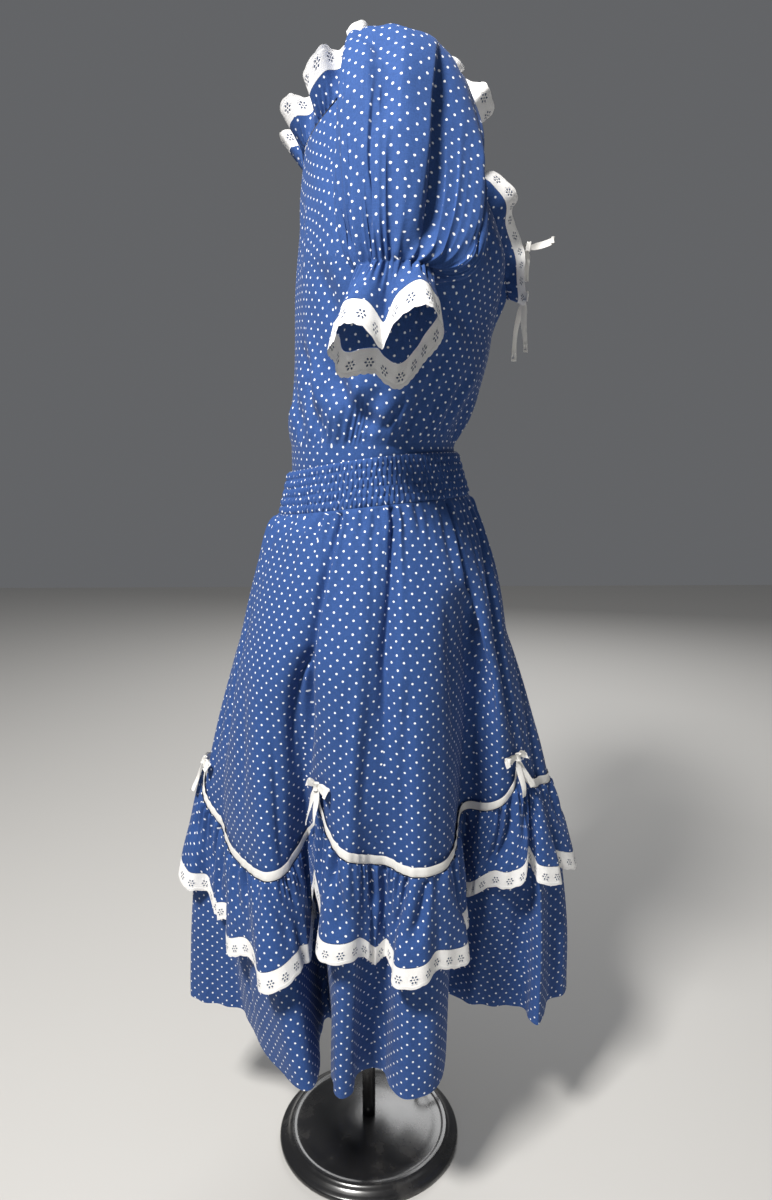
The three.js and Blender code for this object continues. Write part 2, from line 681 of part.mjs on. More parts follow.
const blouseRises = [1, 0.86, 0.70, 0.54, 0.39, 0.25, 0.12, 0, -1];
const backBearings = [-90, -76, -62, -52, -42, -33, -24, -19, -15, -8, 0];
const frontBearings = [0, 6, 12, 17.5, 23, 28.5, 34, 39.5, 45, 53.5, 62, 70, 78, 84, 90];

// The columns of one side's quarter and of its mirror, from one side seam to the other.
function blousePanel(quarter, middle) {
  const mirror = quarter.map((bearing) => 2 * middle - bearing);
  const columns = [...new Set(quarter.concat(mirror))].sort((a, b) => a - b);
  return wallGeometry(gridOf(columns, blouseRises, false, blousePoint), CLOTH, false);
}

// ---------------------------------------------------------------- sleeves
// Loop where a sleeve starts: down its back seam with the blouse, up the front one, and
// over the shoulder along the neckline. Set just clear of the blouse's edge.
const sleeveSeam = blouseEdge.filter((row) => row.seam === 1);
const shoulderRows = [
  { x: 60, y: -98, z: 1148 },
  { x: 36, y: -105, z: 1158 },
  { x: 10, y: -104, z: 1160 },
];
const sleeveStart = sleeveSeam.concat(shoulderRows);

// Rings down the sleeve after its start: centre, half widths along X and Y, and how far
// each ring still leans towards the armhole.
const cuffRing = { x: 23, y: -196, z: 979, wide: 30, deep: 20, tilt: 5 };
const flounceRing = { x: 16, y: -200, z: 937, wide: 41, deep: 28, tilt: 20 };
const sleeveHemRing = { x: 14, y: -203, z: 910, wide: 45, deep: 31, tilt: 29 };
const SLEEVE_COLUMNS = 33;     // three to a row of the start
const FLOUNCE_WAVES = 5;
const SLEEVE_GATHERS = 11;

// A point on a closed loop of rows, straight between them.
function loopPoint(rows, turn) {
  const position = wrap01(turn) * rows.length;
  const low = rows[Math.floor(position) % rows.length];
  const high = rows[(Math.floor(position) + 1) % rows.length];
  return vec(low.x, low.y, low.z).lerp(vec(high.x, high.y, high.z), position - Math.floor(position));
}

const startPoint = (turn) => loopPoint(sleeveStart, turn);

// Turn 0 lies at the back raglan point, and the underarm is four rows on.
const UNDERARM_ROW = 4;

function ringPoint(turn, ring, ripple) {
  const angle = TURN * (wrap01(turn) - UNDERARM_ROW / sleeveStart.length);
  const size = 1 + ripple;
  return vec(
    ring.x + ring.wide * size * Math.sin(rad(angle)),
    ring.y + ring.deep * size * Math.cos(rad(angle)),
    ring.z - ring.tilt * Math.cos(rad(angle)),
  );
}

const PUFF_UP = 78;            // how high the sleeve head stands over its seam
const PUFF_OUT = 92;           // how far it stands out from the body
const PUFF_DROOP = 66;         // how high the puff rises over the cuff
const PUFF_LOBE = 50;          // how far its front lobe swells ahead of the cuff
const LOBE_DROP = 26;          // and how low that lobe's pull goes
const PUFF_TUCK = 14;          // how far the underarm stands out
const PUFF_SAG = 16;           // and how far it hangs
const SEAM_LOW_Z = 1010;       // the seam stands up into the head from here
const HEAD_HEIGHT = 150;
const FORWARD_LEAN = 0.7;      // share of the cuff's reach that the head leans forward
const GATHER_SHARE = 0.05;     // of the elastic's ring

// A point of the sleeve's puff, from its start (0) to the elastic (1).
function puffPoint(turn, down) {
  const start = startPoint(turn);
  const end = ringPoint(turn, cuffRing, GATHER_SHARE * Math.cos(FULL * SLEEVE_GATHERS * turn));
  const head = clamp01((start.z - SEAM_LOW_Z) / HEAD_HEIGHT);
  const outward = end.clone().sub(vec(cuffRing.x, cuffRing.y, cuffRing.z));
  const first = start.clone().add(vec(
    Math.max(0, outward.x) * FORWARD_LEAN * head,
    -mix(PUFF_TUCK, PUFF_OUT, head),
    mix(-PUFF_SAG, PUFF_UP, head ** 2),
  ));
  const forward = clamp01(outward.x / cuffRing.wide);
  const second = end.clone().add(vec(
    outward.x + PUFF_LOBE * forward,
    outward.y * 0.9,
    mix(mix(10, PUFF_DROOP, head), -LOBE_DROP, forward),
  ));
  const left = 1 - down;
  return start.multiplyScalar(left ** 3)
    .addScaledVector(first, 3 * left * left * down)
    .addScaledVector(second, 3 * left * down * down)
    .addScaledVector(end, down ** 3);
}

const FLOUNCE_START = 0.6;     // where its first wave stands, in radians
const FLOUNCE_SWELL = 0.17;    // of a wave, as a share of the ring
const FLOUNCE_LIFT = 9;        // how far a wave's edge rises and falls
const HEM_SWELL = 0.2;
const HEM_LIFT = 11;

function flounceWave(turn) {
  return Math.cos(FULL * FLOUNCE_WAVES * turn + FLOUNCE_START);
}

// A point below the elastic: 0 at it, 1 at the seam with the lace, on over the lace.
function flouncePoint(turn, down) {
  const ring = {};
  Object.keys(cuffRing).forEach((name) => {
    ring[name] = mix(cuffRing[name], flounceRing[name], down);
  });
  const gathers = GATHER_SHARE * Math.cos(FULL * SLEEVE_GATHERS * turn) * (1 - down);
  const point = ringPoint(turn, ring, gathers + FLOUNCE_SWELL * flounceWave(turn) * down);
  point.z += FLOUNCE_LIFT * down * flounceWave(turn + 0.07);
  return point;
}

// The sleeve's first ring stands off the blouse's edge by a little more than the seam,
// into the armhole and out from the body.
const SLEEVE_CLEAR = 2.2;
const SLEEVE_PROUD = 1.5;
const armholeMiddle = vec(22, -122, 1085);

function seamShift(turn) {
  const here = startPoint(turn);
  const along3d = startPoint(turn + 0.012).sub(startPoint(turn - 0.012)).normalize();
  const out = vec(here.x - armholeMiddle.x, here.y, 0).normalize();
  const inward = along3d.cross(out).normalize();
  if (inward.dot(armholeMiddle.clone().sub(here)) < 0) inward.negate();
  return inward.multiplyScalar(SLEEVE_CLEAR).addScaledVector(out, SLEEVE_PROUD);
}

// Rows down a sleeve: 0 to 1 down the puff, to 2 down the flounce, 3 at the lace's hem.
const sleeveRows = [0, 0.16, 0.36, 0.58, 0.8, 1, 1.5, 2, 3];
const SLEEVE_SEAM_ROW = 7;

function sleevePoint(turn, down) {
  if (down === 0) return startPoint(turn).add(seamShift(turn));
  if (down <= 1) return puffPoint(turn, down);
  if (down <= 2) return flouncePoint(turn, down - 1);
  const seamPoint = flouncePoint(turn, 1);
  const hem = ringPoint(turn, sleeveHemRing, HEM_SWELL * flounceWave(turn + 0.02));
  hem.z += HEM_LIFT * flounceWave(turn + 0.09);
  const away = hem.sub(seamPoint).normalize();
  return seamPoint.addScaledVector(away, SLEEVE_LACE);
}

function sleevePieces(side, suffix) {
  const grid = gridOf(roundShares(SLEEVE_COLUMNS), sleeveRows, true, (turn, down) => {
    const point = sleevePoint(turn, down);
    point.y *= side;
    return point;
  });
  const cloth = wallGeometry(grid.slice(0, SLEEVE_SEAM_ROW + 1), CLOTH, true, side);
  const lace = wallGeometry(belowSeam(grid, SLEEVE_SEAM_ROW), LACE, true, side);
  addPiece(`sleeve_${suffix}`, cloth, cottonMaterial());
  addPiece(`sleeve_lace_${suffix}`, lace, laceMaterial());
}

// ---------------------------------------------------------------- neck ruffle
// Line that the ruffle is sewn to: the neckline of the blouse and of both sleeves.
const neckRight = [
  { x: -61, y: 0, z: 1112, outX: -0.32, outY: 0.00, outZ: 0.94, wide: 0.80 },
  { x: -57, y: -40, z: 1118, outX: -0.20, outY: -0.20, outZ: 0.96, wide: 0.85 },
  { x: -43, y: -72, z: 1130, outX: -0.08, outY: -0.20, outZ: 0.97, wide: 0.85 },
  { x: -12, y: -98, z: 1154, outX: -0.06, outY: 0.10, outZ: 0.99, wide: 0.95 },
  { x: 10, y: -104, z: 1160, outX: 0.02, outY: 0.60, outZ: 0.80, wide: 0.90 },
  { x: 36, y: -105, z: 1158, outX: 0.10, outY: 0.75, outZ: 0.66, wide: 0.85 },
  { x: 60, y: -98, z: 1148, outX: 0.45, outY: 0.55, outZ: 0.70, wide: 0.90 },
  { x: 78, y: -84, z: 1130, outX: 0.68, outY: 0.25, outZ: 0.70, wide: 1.00 },
  { x: 104, y: -54, z: 1088, outX: 0.35, outY: 0.55, outZ: 0.76, wide: 0.55 },
  { x: 132, y: -26, z: 1034, outX: 0.72, outY: 0.10, outZ: 0.68, wide: 0.72 },
];
const neckFront = { x: 146, y: 0, z: 988, outX: 0.96, outY: 0.00, outZ: 0.10, wide: 0.28 };
const neckLine = neckRight.concat(
  [neckFront],
  neckRight.slice(1).reverse().map((row) => ({ ...row, y: -row.y, outY: -row.outY })),
);
const NECK_WAVES = 16;
const NECK_SWING = 11;
const NECK_COLUMNS = 80;
const NECK_CLEAR = 1.0;        // from the blouse's edge to the ruffle's foot

const outRows = neckLine.map((row) => ({ x: row.outX, y: row.outY, z: row.outZ }));
const wideRows = neckLine.map((row) => ({ x: row.wide, y: 0, z: 0 }));

// A point of the neck ruffle: u round from the back, reach in millimetres from its foot.
function neckPoint(u, reach) {
  const foot = loopPoint(neckLine, u);
  const out = loopPoint(outRows, u).normalize();
  const wide = loopPoint(wideRows, u).x;
  const ahead = loopPoint(neckLine, u + 0.02).sub(loopPoint(neckLine, u - 0.02)).normalize();
  const flap = out.clone().cross(ahead).normalize();
  const open = clamp01(reach / (NECK_RUFFLE + NECK_LACE));
  const wave = Math.sin(FULL * NECK_WAVES * u);
  return foot.addScaledVector(out, NECK_CLEAR + reach * wide)
    .addScaledVector(flap, NECK_SWING * wave * open);
}

const neckReaches = [0, NECK_RUFFLE / 2, NECK_RUFFLE, NECK_RUFFLE + NECK_LACE];
const NECK_SEAM_ROW = 2;

// The ruffle and lace of one side, from the middle of one end to the middle of the other.
function neckPieces(from, suffix) {
  const across = shares(NECK_COLUMNS / 2 + 1).map((share) => from + share / 2);
  const grid = gridOf(across, neckReaches, false, neckPoint);
  const cloth = wallGeometry(grid.slice(0, NECK_SEAM_ROW + 1), CLOTH, false, -1);
  const lace = wallGeometry(belowSeam(grid, NECK_SEAM_ROW), LACE, false, -1);
  addPiece(`neck_ruffle_${suffix}`, cloth, cottonMaterial());
  addPiece(`neck_lace_${suffix}`, lace, laceMaterial());
}

// ---------------------------------------------------------------- bows
// A ribbon bow laid over a guide: guide(a, b, h) gives the place a millimetres across,
// b millimetres down and h millimetres proud of what the bow lies on.
const TAIL_WIDTH = 6.72;
const BOW_WALL = 1.6;
const LOOP_LOW = 1.2;          // from what the bow lies on to its back
const LOOP_RISE = 3.6;         // thickness of the loops
const LOOPS_END = 9;           // how far down the loops reach
const KNOT_SIZE = 4.8;
const KNOT_RISE = 4.6;         // from what the bow lies on to the knot's middle

// Right half of a bow's outline: millimetres across and down from the knot.
const bowOutline = [
  [0, -3], [8, -4], [16, -5], [21, -1], [20, 6], [13, 8], [5, 4],
];

// A bow laid flat in one piece: two loops and two tails.
function bowBody(tails, guide) {
  const tail = ({ lean, length }) => {
    const steps = [0.15, 0.55, 1];
    const edge = (side) => steps.map((t) => (
      [lean * t + side * TAIL_WIDTH / 2 + Math.sign(lean) * 2, length * t]));
    return edge(1).concat(edge(-1).reverse());
  };
  const left = bowOutline.slice(1).reverse().map(([a, b]) => [-a, b]);
  const outline = [...bowOutline, ...tail(tails[0]), ...tail(tails[1]), ...left];
  const contour = outline.map(([a, b]) => new THREE.Vector2(a, b));
  const count = outline.length;
  const positions = [];
  const push = (point) => positions.push(point.x, point.y, point.z);
  outline.forEach(([a, b]) => (
    push(guide(a, b, LOOP_LOW + (b < LOOPS_END ? LOOP_RISE : BOW_WALL)))));
  outline.forEach(([a, b]) => push(guide(a, b, LOOP_LOW)));
  const faces = [];
  THREE.ShapeUtils.triangulateShape(contour, []).forEach(([i, j, k]) => {
    faces.push(i, k, j, count + i, count + j, count + k);
  });
  for (let corner = 0; corner < count; corner += 1) {
    const next = (corner + 1) % count;
    faces.push(corner, next, count + next, corner, count + next, count + corner);
  }
  return geometryOf(positions, faces);
}

function bowKnot(guide) {
  const ball = new THREE.SphereGeometry(KNOT_SIZE, 6, 4);
  ball.scale(1, 1.1, 0.7);
  ball.translate(0, 0, KNOT_RISE);
  const position = ball.getAttribute('position');
  for (let index = 0; index < position.count; index += 1) {
    const point = guide(position.getX(index), position.getY(index), position.getZ(index));
    position.setXYZ(index, point.x, point.y, point.z);
  }
  // The guide is left-handed, so the ball's faces are turned round.
  ball.setIndex(Array.from(ball.getIndex().array).reverse());
  return ball;
}

function bow(guide, tails) {
  return joined([bowBody(tails, guide), bowKnot(guide)]);
}

const TAIL_SPAN = 45;          // from knot to tail end down the skirt
const WIDTH_REACH = 0.005;     // of the way round, to each side

// Width of the skirt's whole round at one place, by the cloth beside it.
function roundWidth(u, v) {
  const here = skirtPoint(u + WIDTH_REACH, v);
  return here.distanceTo(skirtPoint(u - WIDTH_REACH, v)) / (2 * WIDTH_REACH);
}

function skirtBowGuide(row) {
  const width = roundWidth(row.u, row.v);
  const normal = skirtNormal(row.u, row.v, BROAD_REACH);
  return (a, b, h) => {
    const v = row.v + b / SKIRT_LENGTH;
    const down = clamp01((b - 2) / TAIL_SPAN) ** 0.7;
    const cover = RIBBON_OFFSET + RIBBON - row.sunk + down * (RUFFLE_STAND + RUFFLE_SWING);
    return skirtPoint(row.u + a / width, v).addScaledVector(normal, cover + h);
  };
}

// ---------------------------------------------------------------- dress form and stand
const formRings = [
  { z: 640, back: -76, front: 92, side: 118 },
  { z: 700, back: -78, front: 94, side: 122 },
  { z: 760, back: -76, front: 88, side: 118 },
  { z: 794, back: -76.4, front: 90.0, side: 116.9 },
  { z: 838, back: -76.4, front: 90.4, side: 116.9 },
  { z: 880, back: -70, front: 96, side: 117 },
  { z: 940, back: -66, front: 112, side: 128 },
  { z: 1005, back: -64, front: 124, side: 134 },
  { z: 1060, back: -60, front: 108, side: 124 },
  { z: 1100, back: -54, front: 84, side: 108 },
  { z: 1128, back: -44, front: 60, side: 86 },
  { z: 1146, back: -34, front: 42, side: 56 },
  { z: 1168, back: -30, front: 32, side: 40 },
];
const FORM_COLUMNS = 26;

// A solid through rings, closed by a point at each end.
function ringSolid(rings, columns) {
  const positions = [];
  rings.forEach((ring) => {
    for (let column = 0; column < columns; column += 1) {
      const point = ellipsePoint(BACK + TURN * column / columns, ring.z, ring);
      positions.push(point.x, point.y, point.z);
    }
  });
  const bottom = positions.length / 3;
  const first = rings[0];
  const last = rings[rings.length - 1];
  positions.push((first.back + first.front) / 2, 0, first.z);
  positions.push((last.back + last.front) / 2, 0, last.z);
  const faces = [];
  for (let column = 0; column < columns; column += 1) {
    const next = (column + 1) % columns;
    for (let row = 0; row < rings.length - 1; row += 1) {
      const low = row * columns;
      const high = low + columns;
      faces.push(low + column, low + next, high + next, low + column, high + next, high + column);
    }
    const top = (rings.length - 1) * columns;
    faces.push(bottom, next, column);
    faces.push(bottom + 1, top + column, top + next);
  }
  return geometryOf(positions, faces);
}

const POLE_FOOT_Z = 25;
const POLE_TOP_Z = formRings[0].z - SEAM;
const BASE_SEGMENTS = 28;
const POLE_SEGMENTS = 20;
const WIRE_STEPS = 14;

// Base: a low dome with a raised rim inside its flat edge.
function standBase() {
  const profile = [
    [0, 0], [BASE_RADIUS - 2, 0], [BASE_RADIUS, 2.5], [BASE_RADIUS - 1, 6], [98, 11], [94, 15],
    [88, 14], [60, 19], [30, 22], [14, POLE_FOOT_Z - SEAM], [0, POLE_FOOT_Z - SEAM],
  ].map(([radius, height]) => new THREE.Vector2(radius, height));
  const lathe = new THREE.LatheGeometry(profile, BASE_SEGMENTS);
  lathe.rotateX(Math.PI / 2);
  return lathe;
}

function standPole() {
  const length = POLE_TOP_Z - POLE_FOOT_Z;
  const pole = new THREE.CylinderGeometry(POLE_RADIUS, POLE_RADIUS, length, POLE_SEGMENTS);
  pole.rotateX(Math.PI / 2);
  pole.translate(0, 0, (POLE_TOP_Z + POLE_FOOT_Z) / 2);
  return pole;
}

function wire(points) {
  const circle = new THREE.Shape();
  circle.absarc(0, 0, WIRE_RADIUS, 0, FULL, false);
  return new THREE.ExtrudeGeometry(circle, {
    steps: WIRE_STEPS,
    curveSegments: 4,
    bevelEnabled: false,
    extrudePath: new THREE.CatmullRomCurve3(points),
  });
}

// A bow on the neck ruffle's front edge stands on a flat guide that faces forward.
const upperTails = [{ lean: 10, length: 28 }, { lean: -8, length: 32 }];
const lowerTails = [{ lean: 9, length: 46 }, { lean: -9, length: 52 }];
const skirtBowTails = [{ lean: 8, length: 36 }, { lean: -6, length: 42 }];
const frontBows = [
  { name: 'front_bow_upper', x: 161.7, z: 1036, tails: upperTails },
  { name: 'front_bow_lower', x: 160.5, z: 990, tails: lowerTails },
];

function frontBowGuide(row) {
  return (a, b, h) => vec(row.x + h, a, row.z - b);
}

// Hook over the neck, and the loop at the base's rim.
function formHook() {
  const foot = formRings[formRings.length - 1].z + SEAM;
  return wire([
    vec(0, 0, foot), vec(0, 0, foot + 16), vec(-12, 0, foot + 30), vec(-14, 0, foot + 48),
    vec(-2, 0, foot + 57), vec(10, 0, foot + 52), vec(15, 0, foot + 40),
  ]);
}

const LOOP_RADIUS = 17;
const loopMiddle = vec(80, 55, 28.9); // its two ends rest on the base's rim
const loopAcross = vec(0.8, 0.2, 0);  // its width runs this way
const LOOP_FROM = -50;         // degrees from that way, over the top
const LOOP_TO = 230;

function baseLoop() {
  const points = [];
  const steps = 8;
  for (let step = 0; step <= steps; step += 1) {
    const angle = rad(mix(LOOP_FROM, LOOP_TO, step / steps));
    const rise = vec(0, 0, LOOP_RADIUS * Math.sin(angle));
    points.push(rise.add(loopMiddle).addScaledVector(loopAcross, LOOP_RADIUS * Math.cos(angle)));
  }
  return wire(points);
}

// ---------------------------------------------------------------- the outfit
const backFrom = SEAM_ROW_LEFT - hemTable.length;
const ruffleCloth = wallGeometry(ruffleGrid.slice(0, RUFFLE_SEAM_ROW + 1), CLOTH, true);
const ruffleLace = wallGeometry(belowSeam(ruffleGrid, RUFFLE_SEAM_ROW), LACE, true);
addPiece('skirt_back', skirtPanel(backFrom, SEAM_ROW_RIGHT), cottonMaterial());
addPiece('skirt_front', skirtPanel(SEAM_ROW_RIGHT, SEAM_ROW_LEFT), cottonMaterial());
addPiece('swag_ribbon', swagRibbon(), ribbonMaterial());
addPiece('swag_ruffle', ruffleCloth, cottonMaterial());
addPiece('swag_lace', ruffleLace, laceMaterial());
swagTable.slice(0, -1).forEach((row, index) => {
  addPiece(`skirt_bow_${index + 1}`, bow(skirtBowGuide(row), skirtBowTails), ribbonMaterial());
});
addPiece('waistband', waistband(), cottonMaterial());
addPiece('blouse_back', blousePanel(backBearings, BACK), cottonMaterial());
addPiece('blouse_front', blousePanel(frontBearings, FRONT), cottonMaterial());
sleevePieces(1, 'right');
sleevePieces(-1, 'left');
neckPieces(0, 'right');
neckPieces(0.5, 'left');
frontBows.forEach((row) => addPiece(row.name, bow(frontBowGuide(row), row.tails), ribbonMaterial()));
addPiece('form_torso', ringSolid(formRings, FORM_COLUMNS), formMaterial());
addPiece('form_hook', formHook(), steelMaterial());
addPiece('stand_pole', standPole(), steelMaterial());
addPiece('stand_base', standBase(), formMaterial());
addPiece('stand_loop', baseLoop(), steelMaterial());

export default outfit;
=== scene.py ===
import math

import bmesh
import bpy
import numpy as np
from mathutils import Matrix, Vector


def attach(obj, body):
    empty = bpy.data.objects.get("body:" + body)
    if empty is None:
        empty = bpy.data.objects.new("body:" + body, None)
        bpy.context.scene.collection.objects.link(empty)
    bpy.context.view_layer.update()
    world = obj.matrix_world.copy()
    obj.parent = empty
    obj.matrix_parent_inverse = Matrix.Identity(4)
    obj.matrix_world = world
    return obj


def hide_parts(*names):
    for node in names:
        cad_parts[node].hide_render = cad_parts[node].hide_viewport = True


# Square dance skirt set on its dress form. Metres, +Z up, +X the wearer's front,
# -Y the wearer's right. Tables are in millimetres, as in the solids' source.

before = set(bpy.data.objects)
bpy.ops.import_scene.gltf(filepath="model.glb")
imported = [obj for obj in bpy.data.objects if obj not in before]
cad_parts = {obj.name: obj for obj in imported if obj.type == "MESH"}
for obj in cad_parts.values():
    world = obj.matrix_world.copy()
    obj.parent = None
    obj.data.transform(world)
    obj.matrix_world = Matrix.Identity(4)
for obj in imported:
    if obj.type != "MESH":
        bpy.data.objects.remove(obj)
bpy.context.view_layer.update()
MM = 0.001
TAU = 2 * math.pi

# ------------------------------------------------------------------ camera
PITCH = math.radians(10.660)
YAW = math.radians(1.314)
camera_data = bpy.data.cameras.new("camera")
camera_data.lens = 25.5
camera_data.sensor_width = 36
camera_data.clip_start = 0.05
camera_data.clip_end = 30
camera = bpy.data.objects.new("camera", camera_data)
camera.location = (0, -0.920, 0.845)
camera.rotation_euler = (math.pi / 2 - PITCH, 0, -YAW)
bpy.context.scene.collection.objects.link(camera)
bpy.context.scene.camera = camera


# ------------------------------------------------------------------ numbers
def smooth(t):
    """0 below 0, 1 above 1, eased between."""
    t = np.clip(t, 0.0, 1.0)
    return t * t * (3 - 2 * t)


def fall(t):
    """1 below 0, 0 above 1, eased between."""
    return 1 - smooth(t)


def bell(x):
    """A soft bump: 1 at 0 and nearly 0 past 2."""
    return np.exp(-x * x)


def unit(v):
    return v / (np.linalg.norm(v, axis=-1, keepdims=True) + 1e-12)


def hermite(t, low, high, slope_low, slope_high):
    """A cubic from low to high with the slopes given, for t from 0 to 1."""
    t2, t3 = t * t, t * t * t
    return (
        (2 * t3 - 3 * t2 + 1) * low + (t3 - 2 * t2 + t) * slope_low
        + (3 * t2 - 2 * t3) * high + (t3 - t2) * slope_high
    )


def round_line(values, position):
    """A closed smooth line through a column of a table, read at row positions."""
    index = np.floor(position).astype(int)
    a, b, c, d = (values[(index + step) % len(values)] for step in (-1, 0, 1, 2))
    return hermite(position - index, b, c, (c - a) / 2, (d - b) / 2)


def loop_line(rows, position):
    """The same for every column of a table."""
    return np.stack([round_line(values, position) for values in rows.T], axis=-1)


def soft_line(xs, ys, x):
    """A smooth value through the points of a line, with no overshoot (monotone cubic)."""
    step = np.diff(xs)
    rise = np.diff(ys) / step
    slope = np.zeros_like(ys)
    both = rise[1:] * rise[:-1]
    slope[1:-1] = np.where(both > 0, 2 * both / (rise[1:] + rise[:-1] + 1e-30), 0)
    slope[0], slope[-1] = rise[0], rise[-1]
    x = np.clip(x, xs[0], xs[-1])
    index = np.clip(np.searchsorted(xs, x, side="right") - 1, 0, len(xs) - 2)
    h = step[index]
    t = (x - xs[index]) / h
    return hermite(t, ys[index], ys[index + 1], h * slope[index], h * slope[index + 1])


def ring_at(rings, bearing, z):
    """The point at a bearing on the ellipse that a table (z, back, front, side) gives at z."""
    back, front, side = (soft_line(rings[:, 0], rings[:, k], z) for k in (1, 2, 3))
    b = np.radians(bearing)
    x = (front + back) / 2 + (front - back) / 2 * np.sin(b)
    return np.stack(np.broadcast_arrays(x, -side * np.cos(b), z), axis=-1)


def full_or(full):
    return full


def hash01(number, salt=0.0):
    """A fixed scatter from 0 to 1 for each whole number."""
    value = np.sin(np.asarray(number, float) * 12.9898 + salt * 78.233 + 4.1) * 43758.5453
    return value - np.floor(value)


def drift(x, salt, cells=8):
    """A soft wander round a closed line: x from 0 to 1, about -1 to 1."""
    index = np.floor(x * cells)
    t = smooth(x * cells - index)
    low = hash01(np.mod(index, cells), salt)
    high = hash01(np.mod(index + 1, cells), salt)
    return (low + (high - low) * t) * 2 - 1


def ripple(u, count, uneven=0.0):
    """A wave with a count to one turn. What is uneven moves it along."""
    return np.sin(TAU * (count * u + uneven))


def circle_gap(u, centre):
    """The shorter way round from a centre, in turns."""
    gap = u - centre
    return gap - np.round(gap)


def run_length(points, axis=0):
    """How far along an axis of a grid each point lies, from 0."""
    step = np.linalg.norm(np.diff(points, axis=axis), axis=-1)
    first = np.zeros_like(np.take(step, [0], axis=axis))
    return np.concatenate([first, np.cumsum(step, axis=axis)], axis=axis)


def wrapped(points, closed=True):
    """A closed grid with its first column again at the end."""
    return np.concatenate([points, points[:, :1]], axis=1) if closed else points


# ------------------------------------------------------------------ cloth coordinates and meshes
LEAST_FULL, MOST_FULL = 0.85, 1.5    # how much a small crease may shrink or stretch the print


def gore_uv(points, ease, bounds, ref_row, closed=False):
    """Cloth coordinates in metres for each side of each span. Between two bounds the cloth is laid
    from the middle thread, and what is taken up hides in the creases at the bounds. At the
    reference row the cloth runs on across them. ease is the same grid without its small creases."""
    wide, calm = wrapped(points, closed), wrapped(ease, closed)
    rows, spans = len(wide), wide.shape[1] - 1
    step = np.diff(calm, axis=1)
    lead = unit(np.gradient(calm, axis=0))
    lead = unit(lead[:, 1:] + lead[:, :-1])
    along = (step * lead).sum(axis=-1)
    size = np.linalg.norm(step, axis=-1)
    fuller = np.linalg.norm(np.diff(wide, axis=1), axis=-1) / (size + 1e-9)
    across = np.sqrt(np.maximum(size * size - along * along, 0))
    across = across * np.clip(fuller, LEAST_FULL, MOST_FULL)
    first = np.zeros((rows, 1))
    x = np.concatenate([first, np.cumsum(across, axis=1)], axis=1)
    y = np.concatenate([first, np.cumsum(along, axis=1)], axis=1)
    down = run_length(calm)
    left = np.zeros((rows, spans, 2))
    right = np.zeros((rows, spans, 2))
    edges = sorted({0, spans, *[int(b) for b in bounds if 0 < b < spans]})
    for low, high in zip(edges[:-1], edges[1:]):
        m = (low + high) // 2
        hang = (y[:, m] - y[ref_row, m]) - (down[:, m] - down[ref_row, m])
        laid = np.stack([x - (x[:, m] - x[ref_row, m])[:, None], y - hang[:, None]], axis=-1)
        left[:, low:high] = laid[:, low:high]
        right[:, low:high] = laid[:, low + 1:high + 1]
    return left * MM, right * MM


def strip_uv(points, ref_row, depth=None):
    """Cloth coordinates of a ruffle or ribbon, as wide down every thread as at the reference row.
    With a depth, the second coordinate runs from the seam (0) to the edge (depth)."""
    left, right = gore_uv(points, points, [], ref_row)
    length = run_length(points[ref_row]) * MM
    left[..., 0], right[..., 0] = length[:-1], length[1:]
    if depth:
        left[..., 1] = right[..., 1] = np.linspace(0, depth * MM, len(points))[:, None]
    return left, right


def tube_uv(points, ref_row, gather=1.0, depth=None):
    """The same for a closed grid. gather is how much wider the cloth was cut."""
    wide = wrapped(points)
    length = run_length(wide[ref_row]) * gather
    whole = np.stack(np.broadcast_arrays(length, run_length(wide)), axis=-1) * MM
    if depth:
        whole[..., 1] = np.linspace(0, depth * MM, len(points))[:, None]
    return whole[:, :-1], whole[:, 1:]


def grid_mesh(name, points, uv, closed=False, flip=False):
    """A mesh over a grid of rows by columns, with cloth coordinates on both sides of a span."""
    rows, columns = points.shape[:2]
    spans = columns if closed else columns - 1
    r, c = np.meshgrid(np.arange(rows - 1), np.arange(spans), indexing="ij")
    c2 = (c + 1) % columns
    corners = (r * columns + c, (r + 1) * columns + c, (r + 1) * columns + c2, r * columns + c2)
    faces = np.stack(corners, axis=-1)
    left, right = uv
    loops = np.stack([left[r, c], left[r + 1, c], right[r + 1, c], right[r, c]], axis=-2)
    if flip:
        faces, loops = faces[..., ::-1], loops[..., ::-1, :]
    faces = faces.reshape(-1, 4)
    mesh = bpy.data.meshes.new(name)
    mesh.vertices.add(rows * columns)
    mesh.vertices.foreach_set("co", (points.reshape(-1) * MM).astype(np.float32))
    mesh.loops.add(faces.size)
    mesh.loops.foreach_set("vertex_index", faces.reshape(-1).astype(np.int32))
    mesh.polygons.add(len(faces))
    mesh.polygons.foreach_set("loop_start", np.arange(0, faces.size, 4, dtype=np.int32))
    mesh.polygons.foreach_set("loop_total", np.full(len(faces), 4, dtype=np.int32))
    mesh.update(calc_edges=True)
    layer = mesh.uv_layers.new(name="cloth")
    layer.data.foreach_set("uv", loops.reshape(-1).astype(np.float32))
    mesh.polygons.foreach_set("use_smooth", np.ones(len(faces), dtype=bool))
    mesh.update()
    piece = bpy.data.objects.new(name, mesh)
    bpy.context.scene.collection.objects.link(piece)
    return piece


def stand_for(piece, node):
    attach(piece, "root")
    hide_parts(node)


def dress(piece, node, finish):
    """Give a piece the material of its finish (slot and material; the slot is not used) and let it
    stand for a node.
    """
    slot, material = finish
    piece.data.materials.append(material)
    stand_for(piece, node)


